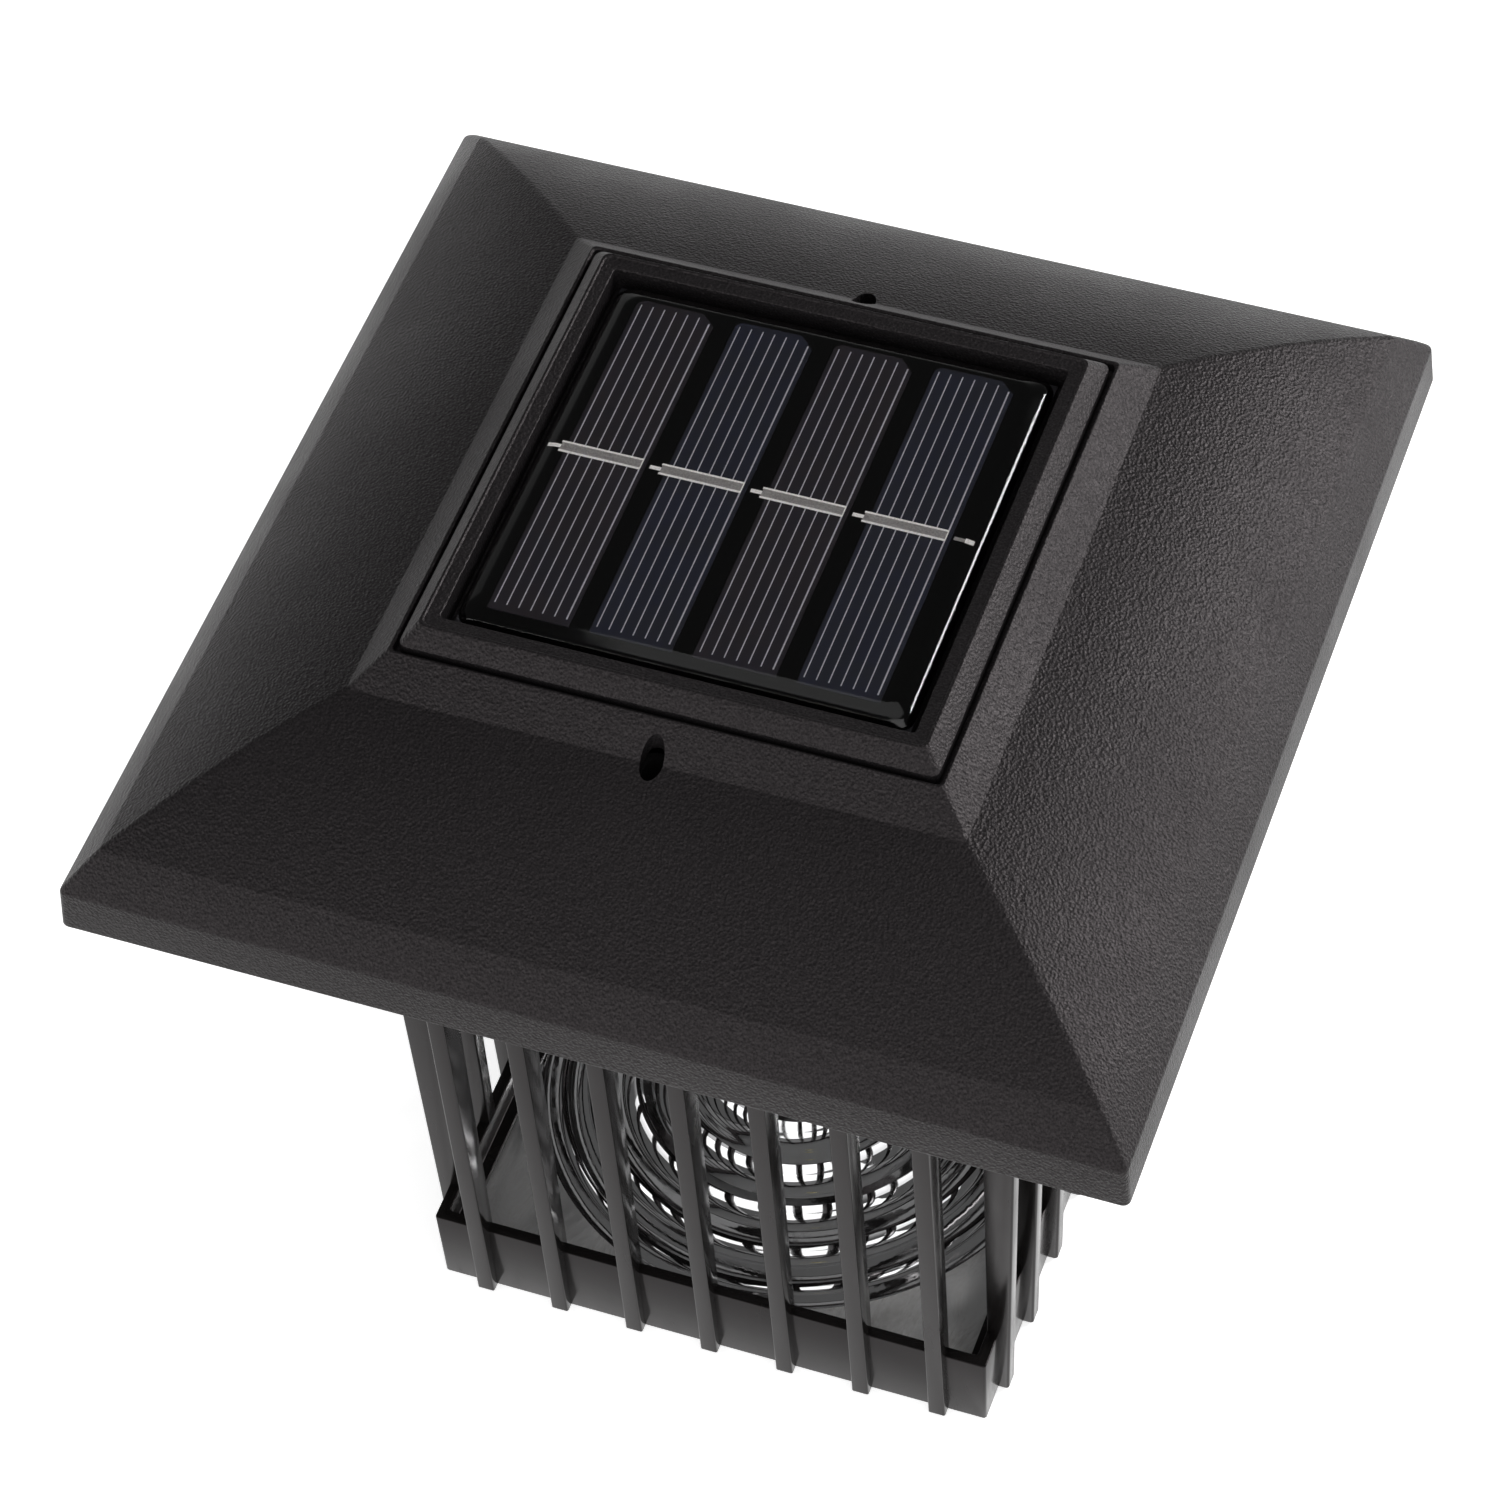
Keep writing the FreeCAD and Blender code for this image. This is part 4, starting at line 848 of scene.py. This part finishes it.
def add_softbox(name, azimuth, elevation, size, power, distance=1.3):
    """Soft light aimed at the lamp. Azimuth runs from the front towards the right."""
    data = bpy.data.lights.new(name, "AREA")
    data.shape = "RECTANGLE"
    data.size = size[0]
    data.size_y = size[1]
    data.energy = power
    light = bpy.data.objects.new(name, data)
    bpy.context.collection.objects.link(light)
    turn = math.radians(azimuth)
    lift = math.radians(elevation)
    aim = Vector((0, 0, 0.1))
    away = Vector((math.sin(turn) * math.cos(lift), -math.cos(turn) * math.cos(lift), math.sin(lift)))
    light.location = aim + away * distance
    light.rotation_euler = away.to_track_quat("Z", "Y").to_euler()


# Azimuth and elevation in degrees, width and height in metres, power in watts.
SOFTBOXES = {
    "right_back": (131, 30, (0.5, 0.45), 11.0),
    "front": (-12, 22, (3.0, 0.75), 8.0),
    "left": (-80, 15, (0.9, 0.5), 1.2),
    "right": (75, 15, (0.9, 0.5), 1.2),
    "top": (0, 88, (0.8, 0.8), 1.1),
    "front_high": (32, 50, (1.2, 0.7), 3.2),
}

# The surroundings are brightest at the horizon and fade up to this height of the sky (0 level, 1 overhead).
WORLD_STRENGTH = 0.08
HORIZON_STRENGTH = 0.52
HORIZON_BOTTOM = 0.02
HORIZON_TOP = 0.45


def build_studio():
    """White surroundings that darken upwards, and soft boxes."""
    world = bpy.data.worlds.new("studio")
    world.use_nodes = True
    bpy.context.scene.world = world
    nodes = world.node_tree.nodes
    links = world.node_tree.links
    direction = nodes.new("ShaderNodeTexCoord")
    parts = nodes.new("ShaderNodeSeparateXYZ")
    fade = nodes.new("ShaderNodeMapRange")
    fade.interpolation_type = "SMOOTHSTEP"
    for socket, value in (("From Min", HORIZON_BOTTOM), ("From Max", HORIZON_TOP),
                          ("To Min", HORIZON_STRENGTH), ("To Max", WORLD_STRENGTH)):
        fade.inputs[socket].default_value = value
    links.new(direction.outputs["Generated"], parts.inputs["Vector"])
    links.new(parts.outputs["Z"], fade.inputs["Value"])
    links.new(fade.outputs["Result"], nodes["Background"].inputs["Strength"])
    nodes["Background"].inputs["Color"].default_value = (1.0, 1.0, 1.0, 1.0)
    for name, (azimuth, elevation, size, power) in SOFTBOXES.items():
        add_softbox(name, azimuth, elevation, size, power)
    bpy.context.scene.view_settings.view_transform = "Standard"


build_camera()
build_roof()
build_panel_frame()
build_resin()
build_cells()
build_buses()
build_skirt()
build_slats()
build_reflector()
dress_nodes()
build_floor()
build_studio()
